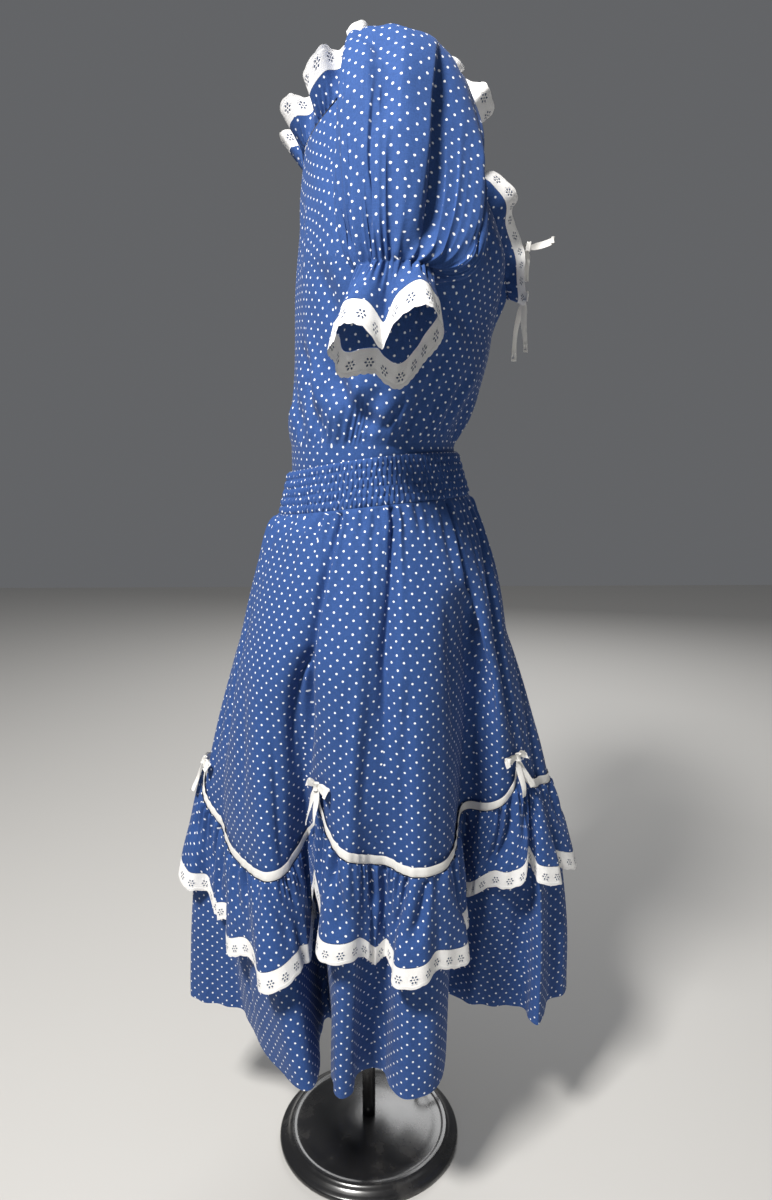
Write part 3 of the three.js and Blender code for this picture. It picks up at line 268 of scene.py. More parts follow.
def flat_size(points, closed):
    """Width and length of the cut, and its area, in metres, from a made grid."""
    wide = wrapped(points, closed)
    widths = np.linalg.norm(np.diff(wide, axis=1), axis=-1).sum(axis=1)
    drops = np.linalg.norm(np.diff(wide, axis=0), axis=-1).sum(axis=0)
    a, b, c, d = wide[:-1, :-1], wide[1:, :-1], wide[1:, 1:], wide[:-1, 1:]
    area = (np.linalg.norm(np.cross(c - a, d - b), axis=-1) / 2).sum()
    return float(widths.max()) * MM, float(drops.max()) * MM, float(area) * MM * MM


def cloth_piece(
    node, finish, points, uv, closed=False, flip=False,
):
    """A sheet of cloth over a grid that stands for a node."""
    piece = grid_mesh(f"{node}_cloth", points, uv, closed, flip)
    dress(piece, node, finish)
    width, length, area = flat_size(points, closed)


# ------------------------------------------------------------------ materials
def put(socket, value):
    """Link a value to a socket, or set it there."""
    if isinstance(value, Value):
        socket.id_data.links.new(value.socket, socket)
    else:
        socket.default_value = (*value, 1) if socket.type == "RGBA" else value


class Value:
    """A shader value. Arithmetic with it adds math nodes."""

    def __init__(self, socket):
        self.socket = socket

    def to(self, operation, other=0.0, place=0):
        node = self.socket.id_data.nodes.new("ShaderNodeMath")
        node.operation = operation
        put(node.inputs[place], self)
        put(node.inputs[1 - place], other)
        return Value(node.outputs[0])

    def __add__(self, other):
        return self.to("ADD", other)

    def __sub__(self, other):
        return self.to("SUBTRACT", other)

    def __rsub__(self, other):
        return self.to("SUBTRACT", other, place=1)

    def __mul__(self, other):
        return self.to("MULTIPLY", other)

    def __truediv__(self, other):
        return self.to("DIVIDE", other)

    def ramp(self, low, high):
        """0 below low, 1 above high, eased between."""
        ends = {"Value": self, "From Min": low, "From Max": high}
        settings = {"interpolation_type": "SMOOTHSTEP", "clamp": True}
        return made(self.socket.id_data, "ShaderNodeMapRange", ends, settings)

    __radd__ = __add__
    __rmul__ = __mul__


def made(tree, kind, inputs, settings=None, output=0):
    """An output of a new shader node, with its inputs linked or set."""
    node = tree.nodes.new(kind)
    for key, value in (settings or {}).items():
        setattr(node, key, value)
    for key, value in inputs.items():
        put(node.inputs[key], value)
    return Value(node.outputs[output])


def scaled(vector, x, y):
    """Coordinates squeezed or drawn out."""
    tree = vector.socket.id_data
    return made(tree, "ShaderNodeMapping", {"Vector": vector, "Scale": (x, y, 1.0)})


def noise(vector, scale, detail, roughness=0.5):
    inputs = {"Vector": vector, "Scale": scale, "Detail": detail, "Roughness": roughness}
    return made(vector.socket.id_data, "ShaderNodeTexNoise", inputs)


def mix(factor, a, b):
    tree = factor.socket.id_data
    return made(tree, "ShaderNodeMix", {0: factor, 6: a, 7: b}, {"data_type": "RGBA"}, 2)


def bump(height, strength, distance, after=None):
    inputs = {"Strength": strength, "Distance": distance, "Height": height}
    if after:
        inputs["Normal"] = after
    return made(height.socket.id_data, "ShaderNodeBump", inputs)


def far(x, y):
    """Distance from the middle of x and y."""
    return (x * x + y * y).to("SQRT")


def waves(x, pitch):
    return (x * (TAU / pitch)).to("SINE")


def new_material(name, roughness, color=None, sheen=0.0, coat=0.0, specular=0.5):
    material = bpy.data.materials.new(name)
    material.use_nodes = True
    shader = material.node_tree.nodes["Principled BSDF"]
    for key, value in {
        "Roughness": roughness, "Metallic": 0.0, "Specular IOR Level": specular,
        "Sheen Weight": sheen, "Sheen Roughness": 0.5, "Coat Weight": coat,
    }.items():
        put(shader.inputs[key], value)
    if color:
        put(shader.inputs["Base Color"], color)
    return material, material.node_tree, shader


def cloth_place(tree):
    """Cloth coordinates in metres, whole and as separate values."""
    uv = made(tree, "ShaderNodeUVMap", {}, {"uv_map": "cloth"})
    parts = tree.nodes.new("ShaderNodeSeparateXYZ")
    put(parts.inputs[0], uv)
    return uv, Value(parts.outputs[0]), Value(parts.outputs[1])


DOT_CELL = 0.0128              # dots stand at the corners and the middle of a square this wide
DOT_RADIUS, DOT_EDGE, DOT_WOBBLE = 0.00105, 0.00022, 0.0007
WEAVE = 0.00052                # from thread to thread, twice
BLUE = (0.034, 0.090, 0.285)
BLUE_DARK = (0.021, 0.060, 0.195)
DOT_WHITE = (0.92, 0.94, 0.96)


def lattice_gap(x, y, cell, shift):
    """Metres from the nearest point of a square lattice."""
    fx, fy = ((value / cell + shift).to("FRACT") - 0.5 for value in (x, y))
    return far(fx, fy) * cell


def cotton():
    material, tree, shader = new_material("cotton", 0.80, sheen=0.05, specular=0.22)
    uv, x, y = cloth_place(tree)
    near = lattice_gap(x, y, DOT_CELL, 0.0).to("MINIMUM", lattice_gap(x, y, DOT_CELL, 0.5))
    edge = near + (noise(uv, 900, 1.0) - 0.5) * DOT_WOBBLE
    dot = 1.0 - edge.ramp(DOT_RADIUS - DOT_EDGE, DOT_RADIUS + DOT_EDGE)
    threads = noise(scaled(uv, 1.0, 0.16), 1500, 2.0, 0.6)
    picks = noise(scaled(uv, 0.16, 1.0), 1500, 2.0, 0.6)
    slub = (threads + picks) * 0.5
    tone = slub.ramp(0.36, 0.64) * 0.65 + noise(uv, 16, 3.0) * 0.35
    put(shader.inputs["Base Color"], mix(dot, mix(tone, BLUE_DARK, BLUE), DOT_WHITE))
    weave = waves(x, WEAVE) * waves(y, WEAVE)
    cloth = bump(weave * 0.5 + slub * 1.4, 0.30, 0.00022)
    rumple = noise(scaled(uv, 1, 0.55), 70, 3.0, 0.55)
    put(shader.inputs["Normal"], bump(rumple, 0.35, 0.0016, cloth))
    return "cotton", material


LACE_WHITE = (0.95, 0.94, 0.925)
LACE_SHADE = (0.80, 0.79, 0.775)
LACE_THREAD = (0.93, 0.92, 0.90)
# painted shade: the dark navy of shaded cloth seen through the eyelet holes, which are not cut
HOLE_PAINTED_SHADE = (0.06, 0.09, 0.17)
FLOWER = 0.0165                # from one eyelet flower to the next along the lace
FLOWER_PLACE = 0.56            # how far down the lace the flowers lie
PETALS, PETAL_REACH = 6, 0.0031
BORDER_CORDS = 0.0011


def lace(name, depth):
    """Eyelet lace: flowers of six small holes in a row, an embroidered edge, woven ground. The
    holes are not cut: painted shade in them stands for the shaded cloth behind.
    The second cloth coordinate runs from the seam (0) to the scalloped edge (depth in metres)."""
    material, tree, shader = new_material(name, 0.85, sheen=0.10, specular=0.3)
    uv, x, y = cloth_place(tree)
    fx = ((x / FLOWER).to("FRACT") - 0.5) * FLOWER
    fy = y - depth * FLOWER_PLACE
    reach = far(fx, fy)
    turn = (fy.to("ARCTAN2", fx) / (TAU / PETALS) + 0.5).to("FRACT") - 0.5
    side = turn * (TAU / PETALS) * reach
    out = reach - PETAL_REACH
    petal = (side * side + out * out * 0.55).to("SQRT")
    hole = petal.to("MINIMUM", reach + 0.0001)
    # where the eyelet holes lie: they get painted shade and are pressed in by the bump
    hole_with_painted_shade = 1.0 - hole.ramp(0.00068, 0.00095)
    rim = 1.0 - (hole - 0.0013).to("ABSOLUTE").ramp(0.0001, 0.0006)
    border = y.ramp(depth - 0.0040, depth - 0.0026)
    raised = rim * 0.8 + border * (waves(x, BORDER_CORDS) * 0.35 + 0.8)
    slub = noise(uv, 1400, 2.0)
    tone = slub * 0.5 + noise(uv, 60, 2.0) * 0.5
    ground = mix(tone.ramp(0.30, 0.62), LACE_SHADE, LACE_WHITE)
    light = mix(raised * 0.6, ground, LACE_THREAD)
    # the holes are coloured with painted shade instead of being cut
    put(shader.inputs["Base Color"], mix(hole_with_painted_shade, light, HOLE_PAINTED_SHADE))
    height = raised - hole_with_painted_shade * 1.6 + slub * 0.5
    put(shader.inputs["Normal"], bump(height, 0.7, 0.0006))
    return "lace", material


def ribbon():
    material, tree, shader = new_material("ribbon", 0.42, sheen=0.15, specular=0.4)
    uv, x, _ = cloth_place(tree)
    slub = noise(uv, 800, 2.0)
    tone = slub * 0.4 + noise(uv, 45, 2.0) * 0.6
    put(shader.inputs["Base Color"], mix(tone, (0.74, 0.72, 0.68), (0.93, 0.92, 0.89)))
    put(shader.inputs["Normal"], bump(waves(x, 0.0009) * 0.5 + slub, 0.45, 0.00025))
    return "ribbon", material


def black(slot, name, roughness, coat):
    material, tree, shader = new_material(name, roughness, coat=coat)
    put(shader.inputs["Coat Roughness"], 0.22)
    place = Value(tree.nodes.new("ShaderNodeTexCoord").outputs["Object"])
    dust = noise(place, 26, 5.0, 0.62)
    worn = mix(dust.ramp(0.50, 0.78), (0.011, 0.011, 0.012), (0.045, 0.043, 0.041))
    put(shader.inputs["Base Color"], worn)
    put(shader.inputs["Roughness"], dust * 0.16 + (roughness - 0.06))
    put(shader.inputs["Normal"], bump(noise(place, 900, 2.0), 0.12, 0.0002))
    return slot, material


COTTON = cotton()
RIBBON = ribbon()
BLACK_SHELL = black("form_black", "black_shell", 0.38, 0.25)
BLACK_PAINT = black("stand_black", "black_paint", 0.24, 0.5)

# ------------------------------------------------------------------ skirt
HEM_SIDE_Z, HEM_END_Z = 178, 186
BAND_FOOT_Z, BAND_TILT, BAND_RISE = 778.5, 10.5, 6.5
SEAM, CLOTH, RIBBON_WALL, RIBBON_OFFSET = 0.3, 1.3, 1.2, 0.5
SKIRT_LENGTH = 602
RIBBON_HEIGHT, RUFFLE_DEPTH, LACE_DEPTH = 10, 84, 21


def band_bottom(bearing):
    b = np.radians(bearing)
    return BAND_FOOT_Z + BAND_TILT * np.sin(b) + BAND_RISE * np.cos(b) ** 2


# z, back, front, side: rings that the skirt would fill if it hung smooth.
SKIRT_RINGS = np.array([
    (150, -206, 226, 150), (400, -178, 192, 164), (540, -158, 172, 168), (609, -146, 161, 166),
    (642, -137, 153, 163), (675, -129, 148, 158), (708, -120, 140, 151), (740, -109.5, 129, 143),
    (756, -103, 123, 138), (771, -93.5, 116, 133), (790, -90, 108.5, 128),
], float)

# x, y, starts, pace: the hem in plan from the back past the wearer's right to the front,
# how far down each fold starts, and how it deepens.
HEM_RIGHT = [
    (-216, 12, 0.26, 1.0), (-203, -5, 0.26, 1.0), (-172, -13, 0.28, 1.0), (-146, -24, 0.30, 1.0),
    (-133, -56, 0.32, 1.0), (-117, -88, 0.30, 1.0), (-96, -117, 0.28, 1.0), (-76, -143, 0.26, 1.0),
    (-61, -147, 0.26, 1.0), (-53, -128, 0.26, 0.9), (-54, -80, 0.26, 0.8), (-51, -36, 0.26, 0.7),
    (-43, -36, 0.26, 0.7), (-40, -84, 0.26, 0.8), (-39, -134, 0.26, 0.9), (-30, -154, 0.26, 1.0),
    (-18, -148, 0.24, 1.0), (-11, -119, 0.28, 1.0), (4, -108, 0.30, 1.0), (17, -114, 0.28, 1.0),
    (23, -138, 0.24, 1.0), (37, -156, 0.18, 0.9), (61, -153, 0.16, 0.8), (76, -134, 0.16, 0.7),
    (83, -100, 0.16, 0.58), (84, -58, 0.16, 0.52), (84, -16, 0.16, 0.55), (92, 4, 0.18, 0.75),
    (104, 2, 0.22, 1.0), (118, -14, 0.26, 1.2), (150, -19, 0.30, 1.25), (180, -21, 0.30, 1.2),
    (187, -42, 0.30, 1.1), (194, -54, 0.30, 1.0), (202, -42, 0.28, 1.0), (213, -12, 0.26, 1.0),
    (236, -4, 0.24, 1.0), (246, 18, 0.24, 1.0),
]
# The same for the wearer's left side, from the front back to the middle of the back.
HEM_LEFT = [
    (243, 42, 0.24, 1.0), (224, 60, 0.26, 1.0), (202, 66, 0.28, 1.0), (178, 54, 0.28, 1.0),
    (158, 48, 0.26, 1.0), (143, 64, 0.24, 1.0), (133, 94, 0.24, 1.0), (117, 121, 0.26, 1.0),
    (98, 130, 0.28, 1.0), (86, 106, 0.30, 0.8), (80, 70, 0.30, 0.7), (70, 50, 0.30, 0.7),
    (58, 68, 0.28, 0.8), (52, 116, 0.26, 1.0), (40, 148, 0.24, 1.0), (20, 157, 0.22, 1.0),
    (1, 149, 0.22, 1.0), (-9, 120, 0.24, 1.0), (-19, 102, 0.26, 0.9), (-31, 112, 0.26, 1.0),
    (-38, 136, 0.26, 1.0), (-52, 152, 0.26, 1.0), (-72, 149, 0.28, 1.0), (-88, 126, 0.30, 1.0),
    (-96, 88, 0.32, 1.0), (-104, 56, 0.32, 0.8), (-116, 54, 0.32, 0.8), (-128, 78, 0.30, 1.0),
    (-142, 96, 0.28, 1.0), (-157, 86, 0.26, 1.0), (-168, 62, 0.26, 1.0), (-186, 50, 0.26, 1.0),
    (-206, 38, 0.26, 1.0),
]
HEM = np.array(HEM_RIGHT + HEM_LEFT, float)
HEM_ROWS = len(HEM)
HALF_ROW = len(HEM_RIGHT)
HEM_FINE = 16
HEM_PLACES = np.arange(HEM_ROWS * HEM_FINE + 1) / HEM_FINE
hem_length = run_length(loop_line(HEM[:, :2], HEM_PLACES))
hem_half, hem_whole = hem_length[HALF_ROW * HEM_FINE], hem_length[-1]
hem_share = np.where(
    hem_length <= hem_half, hem_length / hem_half / 2,
    0.5 + (hem_length - hem_half) / (hem_whole - hem_half) / 2,
)
START_SHARE = 0.8              # share of a start in the table at which the fold begins
HANG_EASE = 0.16               # share of a fold over which it comes in softly
FINE_REACH, WIDE_REACH = 0.002, 0.014    # turns to each side over which the slope is read
ROOM_STEPS, ROOM_STEP = 18, 0.004


def hem_position(u):
    return np.interp(u - np.floor(u), hem_share, HEM_PLACES)


def thread_of(position):
    """The thread at a hem position, which may run past 0 or the last row."""
    turns = np.floor(position / HEM_ROWS)
    return turns + np.interp(position - turns * HEM_ROWS, HEM_PLACES, hem_share)


def eased_hang(hang):
    soft = np.where(hang < HANG_EASE, hang * hang / (2 * HANG_EASE), hang - HANG_EASE / 2)
    return soft / (1 - HANG_EASE / 2)


def skirt_at(u, v):
    """The skirt without its creases: u in turns from the middle of the back, v from the band (0)
    to the hem (1)."""
    bearing = -90 + 360 * (u - np.floor(u))
    top = band_bottom(bearing) - SEAM
    end = HEM_END_Z + (HEM_SIDE_Z - HEM_END_Z) * np.cos(np.radians(bearing)) ** 2
    z = top + (end - top) * v
    row = loop_line(HEM, hem_position(u))
    start = row[..., 2] * START_SHARE
    hang = eased_hang(np.clip((v - start) / (1 - start), 0, 1) ** row[..., 3])[..., None]
    xy = ring_at(SKIRT_RINGS, bearing, z)[..., :2] * (1 - hang) + row[..., :2] * hang
    return np.concatenate([xy, z[..., None]], axis=-1)


def skirt_normal(u, v, reach):
    across = skirt_at(u + reach, v) - skirt_at(u - reach, v)
    down = skirt_at(u, np.minimum(v + 0.01, 1.0)) - skirt_at(u, v - 0.01)
    return unit(np.cross(down, across))


def skirt_outward(u, v):
    return unit(skirt_normal(u, v, FINE_REACH) + skirt_normal(u, v, WIDE_REACH))


def valley_room(u, v, outward):
    """How far cloth may stand out from the skirt before it would meet the next fold."""
    here = skirt_at(u, v)
    room = np.full(here.shape[:-1], 1e6)
    for step in range(1, ROOM_STEPS + 1):
        for side in (-1, 1):
            there = skirt_at(u + side * step * ROOM_STEP, v) - here
            ahead = (there * outward).sum(axis=-1)
            size = (there * there).sum(axis=-1)
            room = np.where(ahead > 0, np.minimum(room, size / (2 * ahead + 1e-9)), room)
    return room


# Creases that run up to the band, at the valleys between folds: hem position, and how far round
# each has moved, in turns, where it meets the band.
TUCKS = [
    (3, 0.010), (11.5, 0.024), (18, 0.012), (27, -0.010), (31, 0.012), (36, -0.008),
    (42, 0.012), (49, -0.014), (56, 0.010), (63.5, 0.012), (69, -0.012),
]
TUCK_DEEP, TUCK_DEEPER = 6.0, 2.6        # the least depth, and how much deeper some are
TUCK_WIDE, TUCK_WIDENS = 2.6, 18         # at the band, and from there to the hem
TUCK_RUN, TUCK_FADE = 0.22, 0.26
TUCK_RIDGE, RIDGE_BESIDE = 2.2, 1.7      # the swell beside a tuck: height, and widths away
GATHERS = 64                   # small ones under the band
GATHER_RIDGE = 0.45            # of the swell beside each, as a share of its depth
TOP_RUN = 0.006                # share of the skirt over which they come out of the seam
CREASE_DEEPER = 1.5            # times the depth in the table


def scatter(count, salt, low, reach, power=1.0):
    """A value for each of a count of folds, from low to low + reach."""
    return low + reach * hash01(np.arange(count), salt) ** power


gather_u = (np.arange(GATHERS) + scatter(GATHERS, 1, 0.15, 0.7)) / GATHERS
gather_end = scatter(GATHERS, 2, 0.06, 0.20, 1.5)
gather_deep = scatter(GATHERS, 3, 1.5, 2.7)
gather_wide = scatter(GATHERS, 4, 2.6, 3.0)

# Long soft creases: hem position, start and end down the skirt, depth, width, and how far
# each wanders sideways, in millimetres.
CREASES = [
    (9.2, 0.30, 0.62, 2.6, 9, 6), (14.6, 0.24, 0.58, 2.2, 8, -5), (16.4, 0.20, 0.50, 2.4, 8, 4),
    (20.4, 0.26, 0.62, 3.0, 9, -6), (22.2, 0.30, 0.70, 2.0, 10, 5), (24.1, 0.14, 0.42, 3.0, 8, 3),
    (28.6, 0.22, 0.50, 2.6, 8, -3), (33.0, 0.24, 0.66, 2.4, 8, 4), (35.0, 0.30, 0.60, 2.2, 8, 0),
    (5.6, 0.26, 0.55, 2.6, 10, 4), (1.0, 0.22, 0.60, 2.6, 9, 3), (39.0, 0.20, 0.55, 2.6, 9, -4),
    (45.0, 0.24, 0.60, 2.4, 9, 4), (47.4, 0.30, 0.66, 2.6, 9, -4), (52.0, 0.22, 0.56, 2.4, 9, 5),
    (54.0, 0.26, 0.62, 2.2, 9, -4), (59.4, 0.24, 0.60, 2.6, 9, 4), (61.5, 0.30, 0.64, 2.2, 9, 0),
    (66.5, 0.24, 0.58, 2.6, 9, -4), (7.6, 0.66, 0.96, 2.4, 8, 3), (21.6, 0.68, 0.97, 2.6, 9, -4),
    (15.2, 0.74, 0.98, 2.0, 7, 2), (30.4, 0.60, 0.95, 2.6, 8, 4), (4.6, 0.68, 0.97, 2.6, 8, -3),
    (50.8, 0.7, 0.96, 2.2, 8, 3), (60.6, 0.7, 0.96, 2.4, 8, -3), (43.6, 0.66, 0.95, 2.4, 8, 3),
    (67.4, 0.68, 0.96, 2.4, 8, -3), (34.2, 0.70, 0.96, 2.0, 7, 2), (25.4, 0.60, 0.92, 2.4, 8, 3),
]

# Broad soft troughs that lead into the valleys: hem position, depth, width, start and end.
TROUGHS = [
    (3.2, 7, 16, 0.04, 0.50), (11.6, 12, 15, 0.08, 0.50), (18.0, 9, 14, 0.02, 0.50),
    (26.6, 10, 14, 0.06, 0.42), (31.0, 7, 14, 0.04, 0.50), (36.0, 6, 14, 0.06, 0.48),
    (42.0, 8, 16, 0.04, 0.50), (49.0, 10, 15, 0.08, 0.50), (56.2, 9, 15, 0.03, 0.50),
    (63.6, 10, 15, 0.07, 0.50), (69.0, 7, 15, 0.05, 0.50),
]


def skirt_relief(u, v, width):
    """Height in millimetres of gathers, tucks and soft creases. width is the cloth's millimetres
    to one turn at that row."""
    height = np.zeros(np.broadcast(u, v).shape)
    out_of_seam = smooth(v / TOP_RUN)
    for centre, end, deep, wide in zip(gather_u, gather_end, gather_deep, gather_wide):
        run = fall(v / end) * out_of_seam
        side = circle_gap(u, centre + 1.6 * wide / width) * width / (wide * 1.3)
        height -= deep * bell(circle_gap(u, centre) * width / wide) * run
        height += GATHER_RIDGE * deep * bell(side) * run
    for index, (position, lean) in enumerate(TUCKS):
        centre = thread_of(position) + lean * fall(v / TUCK_FADE)
        off = circle_gap(u, centre) * width / (TUCK_WIDE + TUCK_WIDENS * v)
        run = out_of_seam * fall((v - TUCK_RUN) / TUCK_FADE)
        height -= (TUCK_DEEP + TUCK_DEEPER * hash01(index, 7)) * bell(off) * run
        height += TUCK_RIDGE * bell(off - RIDGE_BESIDE * np.sign(lean)) * run
    for position, start, end, deep, wide, wander in CREASES:
        run = np.clip((v - start) / (end - start), 0, 1)
        off = (circle_gap(u, thread_of(position)) * width - wander * np.sin(run * 3.0)) / wide
        height -= CREASE_DEEPER * deep * bell(off) * np.sin(np.pi * run) ** 0.8
    for position, deep, wide, start, end in TROUGHS:
        off = circle_gap(u, thread_of(position)) * width / wide
        height -= deep * bell(off) * smooth((v - start) / 0.16) * fall((v - end + 0.2) / 0.2)
    wander = drift(u + 0.02 * np.sin(v * 7), 11, 40) * 0.9 + drift(u, 12, 90) * 0.45
    height += wander * smooth(v / 0.05) * (0.5 + v)
    height += 1.5 * smooth(v / 0.012) * fall((v - 0.012) / 0.07)
    return height


SKIRT_FINE = full_or(10)    # columns to one hem row
SKIRT_DOWN = np.concatenate([
    [-0.006, -0.002], np.linspace(0, 0.06, 14)[:-1], np.linspace(0.06, 0.30, 28)[:-1],
    np.linspace(0.30, 1, 84),
])[::full_or(1)]
HEM_FOLD = 0.0135              # share of the skirt that the hem's stitching lies above its edge
HEM_DENT, BAND_TUCKED, TOP_TUCKED = 0.35, 1.4, 0.3
FOLD_ROOM = 9                  # room under which creases lose height
GRAIN_SHARE = 0.72             # how far down the cloth runs on across the creases
SIDE_RIGHT, SIDE_LEFT = 18, 56           # hem rows of the side seams


def skirt_surface(u, v):
    base = skirt_at(u, v)
    steps = np.linalg.norm(np.diff(base, axis=1), axis=-1)
    height = skirt_relief(u, v, steps.sum(axis=1, keepdims=True) / (u.max() - u.min()))
    hem = bell((v - (1 - HEM_FOLD)) / 0.0022) * HEM_DENT
    tucked = np.where(v < 0, BAND_TUCKED, TOP_TUCKED * fall(v / 0.004))
    edge = 1.1 * ripple(u, 46, 1.2 * ripple(u, 5)) + 0.7 * drift(u, 15, 70)
    height += smooth((v - 0.86) / 0.14) * edge
    out = skirt_outward(u, v)
    limit = np.minimum(1.0, valley_room(u, v, out) / FOLD_ROOM)
    point = base + out * (height * limit - hem - tucked)[..., None]
    point[..., 2] += smooth((v - 0.9) / 0.1) * (1.3 * drift(u, 16, 60))
    return point


def skirt_panel(node, first, last):
    """The skirt from one hem row to another."""
    positions = np.arange(first * SKIRT_FINE, last * SKIRT_FINE + 1) / SKIRT_FINE
    u, v = np.broadcast_arrays(thread_of(positions)[None, :], SKIRT_DOWN[:, None])
    points = skirt_surface(u, v)
    tucks = [position + turn for position, _ in TUCKS for turn in (-HEM_ROWS, 0)]
    bounds = [round((position - first) * SKIRT_FINE) for position in tucks]
    uv = gore_uv(points, skirt_at(u, v), bounds, int(len(SKIRT_DOWN) * GRAIN_SHARE))
    cloth_piece(node, COTTON, points, uv)


skirt_panel("skirt_back", SIDE_LEFT - HEM_ROWS, SIDE_RIGHT)
skirt_panel("skirt_front", SIDE_RIGHT, SIDE_LEFT)

# ------------------------------------------------------------------ swags
# u, v at the bow, v where the swag hangs lowest
SWAGS = np.array([
    (0.000, 0.485, 0.612), (0.196, 0.445, 0.583), (0.418, 0.448, 0.538), (0.612, 0.450, 0.580),
    (0.806, 0.460, 0.606), (1.000, 0.485, 0.612),
], float)
BOW_SUNK = (0, 0.9, 1.2, 0.7, -0.4)      # how much nearer the skirt each bow is sewn
RIBBON_HALF = RIBBON_HEIGHT / 2 / SKIRT_LENGTH
RUFFLE_TOP = RIBBON_HALF + SEAM * 2.4 / SKIRT_LENGTH
RUFFLE_RUN = RUFFLE_DEPTH / SKIRT_LENGTH
LACE_RUN = LACE_DEPTH / SKIRT_LENGTH
RUFFLE_WAVES, RUFFLE_STAND, RUFFLE_SWING = 29, 7, 4.2
RUFFLE_CLEAR, RUFFLE_FULLER = 1.2, 2.0   # from the skirt at the seam, and more towards the edge
RUFFLE_SWAY = 0.0090           # up and down at its edge, as a share of the skirt
RUFFLE_COLUMNS = full_or(1360)
RUFFLE_ROWS, SWAG_LACE_ROWS = full_or(34), 12
LACE_GAP = 0.006               # from the ruffle's edge to the lace, as a share of the ruffle
SWAG_SCALLOPS, SWAG_SCALLOP = 190, 1.3
ROOM_SHARE = 0.72              # share of the room between two folds that cloth may take
LOOSE_FOLDS = 58
SWAG_ROUND = 1900              # of the skirt at the swags, as its cloth runs

# Loose folds of the ruffle: place round, depth, width in millimetres, and where each ends.
loose_u = (np.arange(LOOSE_FOLDS) + scatter(LOOSE_FOLDS, 81, 0.1, 0.8)) / LOOSE_FOLDS
loose_deep = scatter(LOOSE_FOLDS, 82, 3.4, 4.6)
loose_wide = scatter(LOOSE_FOLDS, 83, 3.6, 3.4)
loose_end = scatter(LOOSE_FOLDS, 84, 0.50, 0.95)


def swag_v(u):
    """How far down the skirt the swags' line runs."""
    around = u - np.floor(u)
    index = np.clip(np.searchsorted(SWAGS[:, 0], around, side="right") - 1, 0, len(SWAGS) - 2)
    t = (around - SWAGS[index, 0]) / (SWAGS[index + 1, 0] - SWAGS[index, 0])
    level = SWAGS[index, 1] + (SWAGS[index + 1, 1] - SWAGS[index, 1]) * t
    return level + (SWAGS[index, 2] - level) * np.sin(np.pi * np.clip(t, 0, 1)) ** 0.4


def ruffle_wave(u, phase=0.0):
    return np.sin(TAU * RUFFLE_WAVES * u + 1.3 * ripple(u, 3) + phase)


def seam_gathers(u):
    return ripple(u, 93, 0.9 * ripple(u, 4) + 0.8 * drift(u, 22, 37))


def ruffle_v(u, q):
    """How far down the skirt the ruffle's cloth lies: q from its seam (0) to its edge (1)."""
    sway = RUFFLE_SWAY * ruffle_wave(u, 0.5) * smooth(q) * (1 + 0.3 * drift(u, 25, 29))
    return swag_v(u) + RUFFLE_TOP + RUFFLE_RUN * q + sway


def ruffle_height(u, q):
    swing = RUFFLE_SWING * ruffle_wave(u) * (1.45 + 0.45 * drift(u, 21, 29))
    stand = np.clip(q, 0, 1.3) ** 0.7 * (RUFFLE_STAND + RUFFLE_FULLER + swing)
    fine = 2.6 * seam_gathers(u) * (0.65 + 0.35 * drift(u, 23, 60))
    finer = 1.2 * ripple(u, 171, 1.1 * drift(u, 24, 51)) * fall((q - 0.02) / 0.4)
    gathers = (fine + finer) * fall((q - 0.05) / 0.75) * smooth(q / 0.04 + 0.35)
    edge = 1.6 * ripple(u, 64, 0.6 * ripple(u, 7)) * smooth((q - 0.5) / 0.5)
    height = CLOTH + RIBBON_OFFSET + RUFFLE_CLEAR + stand + gathers + edge
    for centre, deep, wide, end in zip(loose_u, loose_deep, loose_wide, loose_end):
        off = circle_gap(u, centre + 0.004 * np.sin(q * 3 + centre * 50)) * SWAG_ROUND
        run = smooth(q / 0.08 + 0.1) * fall((q - end + 0.35) / 0.35)
        height -= deep * bell(off / (wide * (0.7 + 0.7 * q))) * run
    return height


def swag_points(rows, v_of, height_of, drop_of=None):
    """A closed grid over the skirt at the swags, with its rows at the places given."""
    u = np.arange(RUFFLE_COLUMNS)[None, :] / RUFFLE_COLUMNS
    u, q = np.broadcast_arrays(u, rows[:, None])
    v = v_of(u, q)
    outward = skirt_outward(u, v)
    room = valley_room(u, v, outward) * ROOM_SHARE
    height = height_of(u, q)
    lowest = np.minimum(height, RIBBON_OFFSET + CLOTH)
    height = np.maximum(lowest, np.minimum(height, room))
    if drop_of:
        v = v + drop_of(u, q) / SKIRT_LENGTH
    return skirt_at(u, v) + outward * height[..., None]


def swag_scallop(u, q):
    return smooth((q - 1.0) / 0.25) * SWAG_SCALLOP * np.abs(np.sin(np.pi * u * SWAG_SCALLOPS))


def ribbon_v(u, side):
    return swag_v(u) + side * RIBBON_HALF


def ribbon_height(u, side):
    return RIBBON_OFFSET + RIBBON_WALL + 0.9 - 0.5 * side ** 4 + 0.35 * seam_gathers(u)


lace_rows = np.linspace(1 + LACE_GAP, 1 + LACE_RUN / RUFFLE_RUN, SWAG_LACE_ROWS)
swag_rows = np.concatenate([np.linspace(0, 1, RUFFLE_ROWS), lace_rows])
whole = swag_points(swag_rows, ruffle_v, ruffle_height, swag_scallop)
part = whole[:RUFFLE_ROWS]
cloth_piece("swag_ruffle", COTTON, part, tube_uv(part, -6), closed=True)
part = whole[RUFFLE_ROWS:]
uv = tube_uv(part, SWAG_LACE_ROWS // 2, depth=LACE_DEPTH)
cloth_piece("swag_lace", lace("swag_lace", LACE_DEPTH * MM), part, uv, closed=True)
part = swag_points(np.linspace(-1, 1, 7), ribbon_v, ribbon_height)
cloth_piece("swag_ribbon", RIBBON, part, tube_uv(part, 3), closed=True)

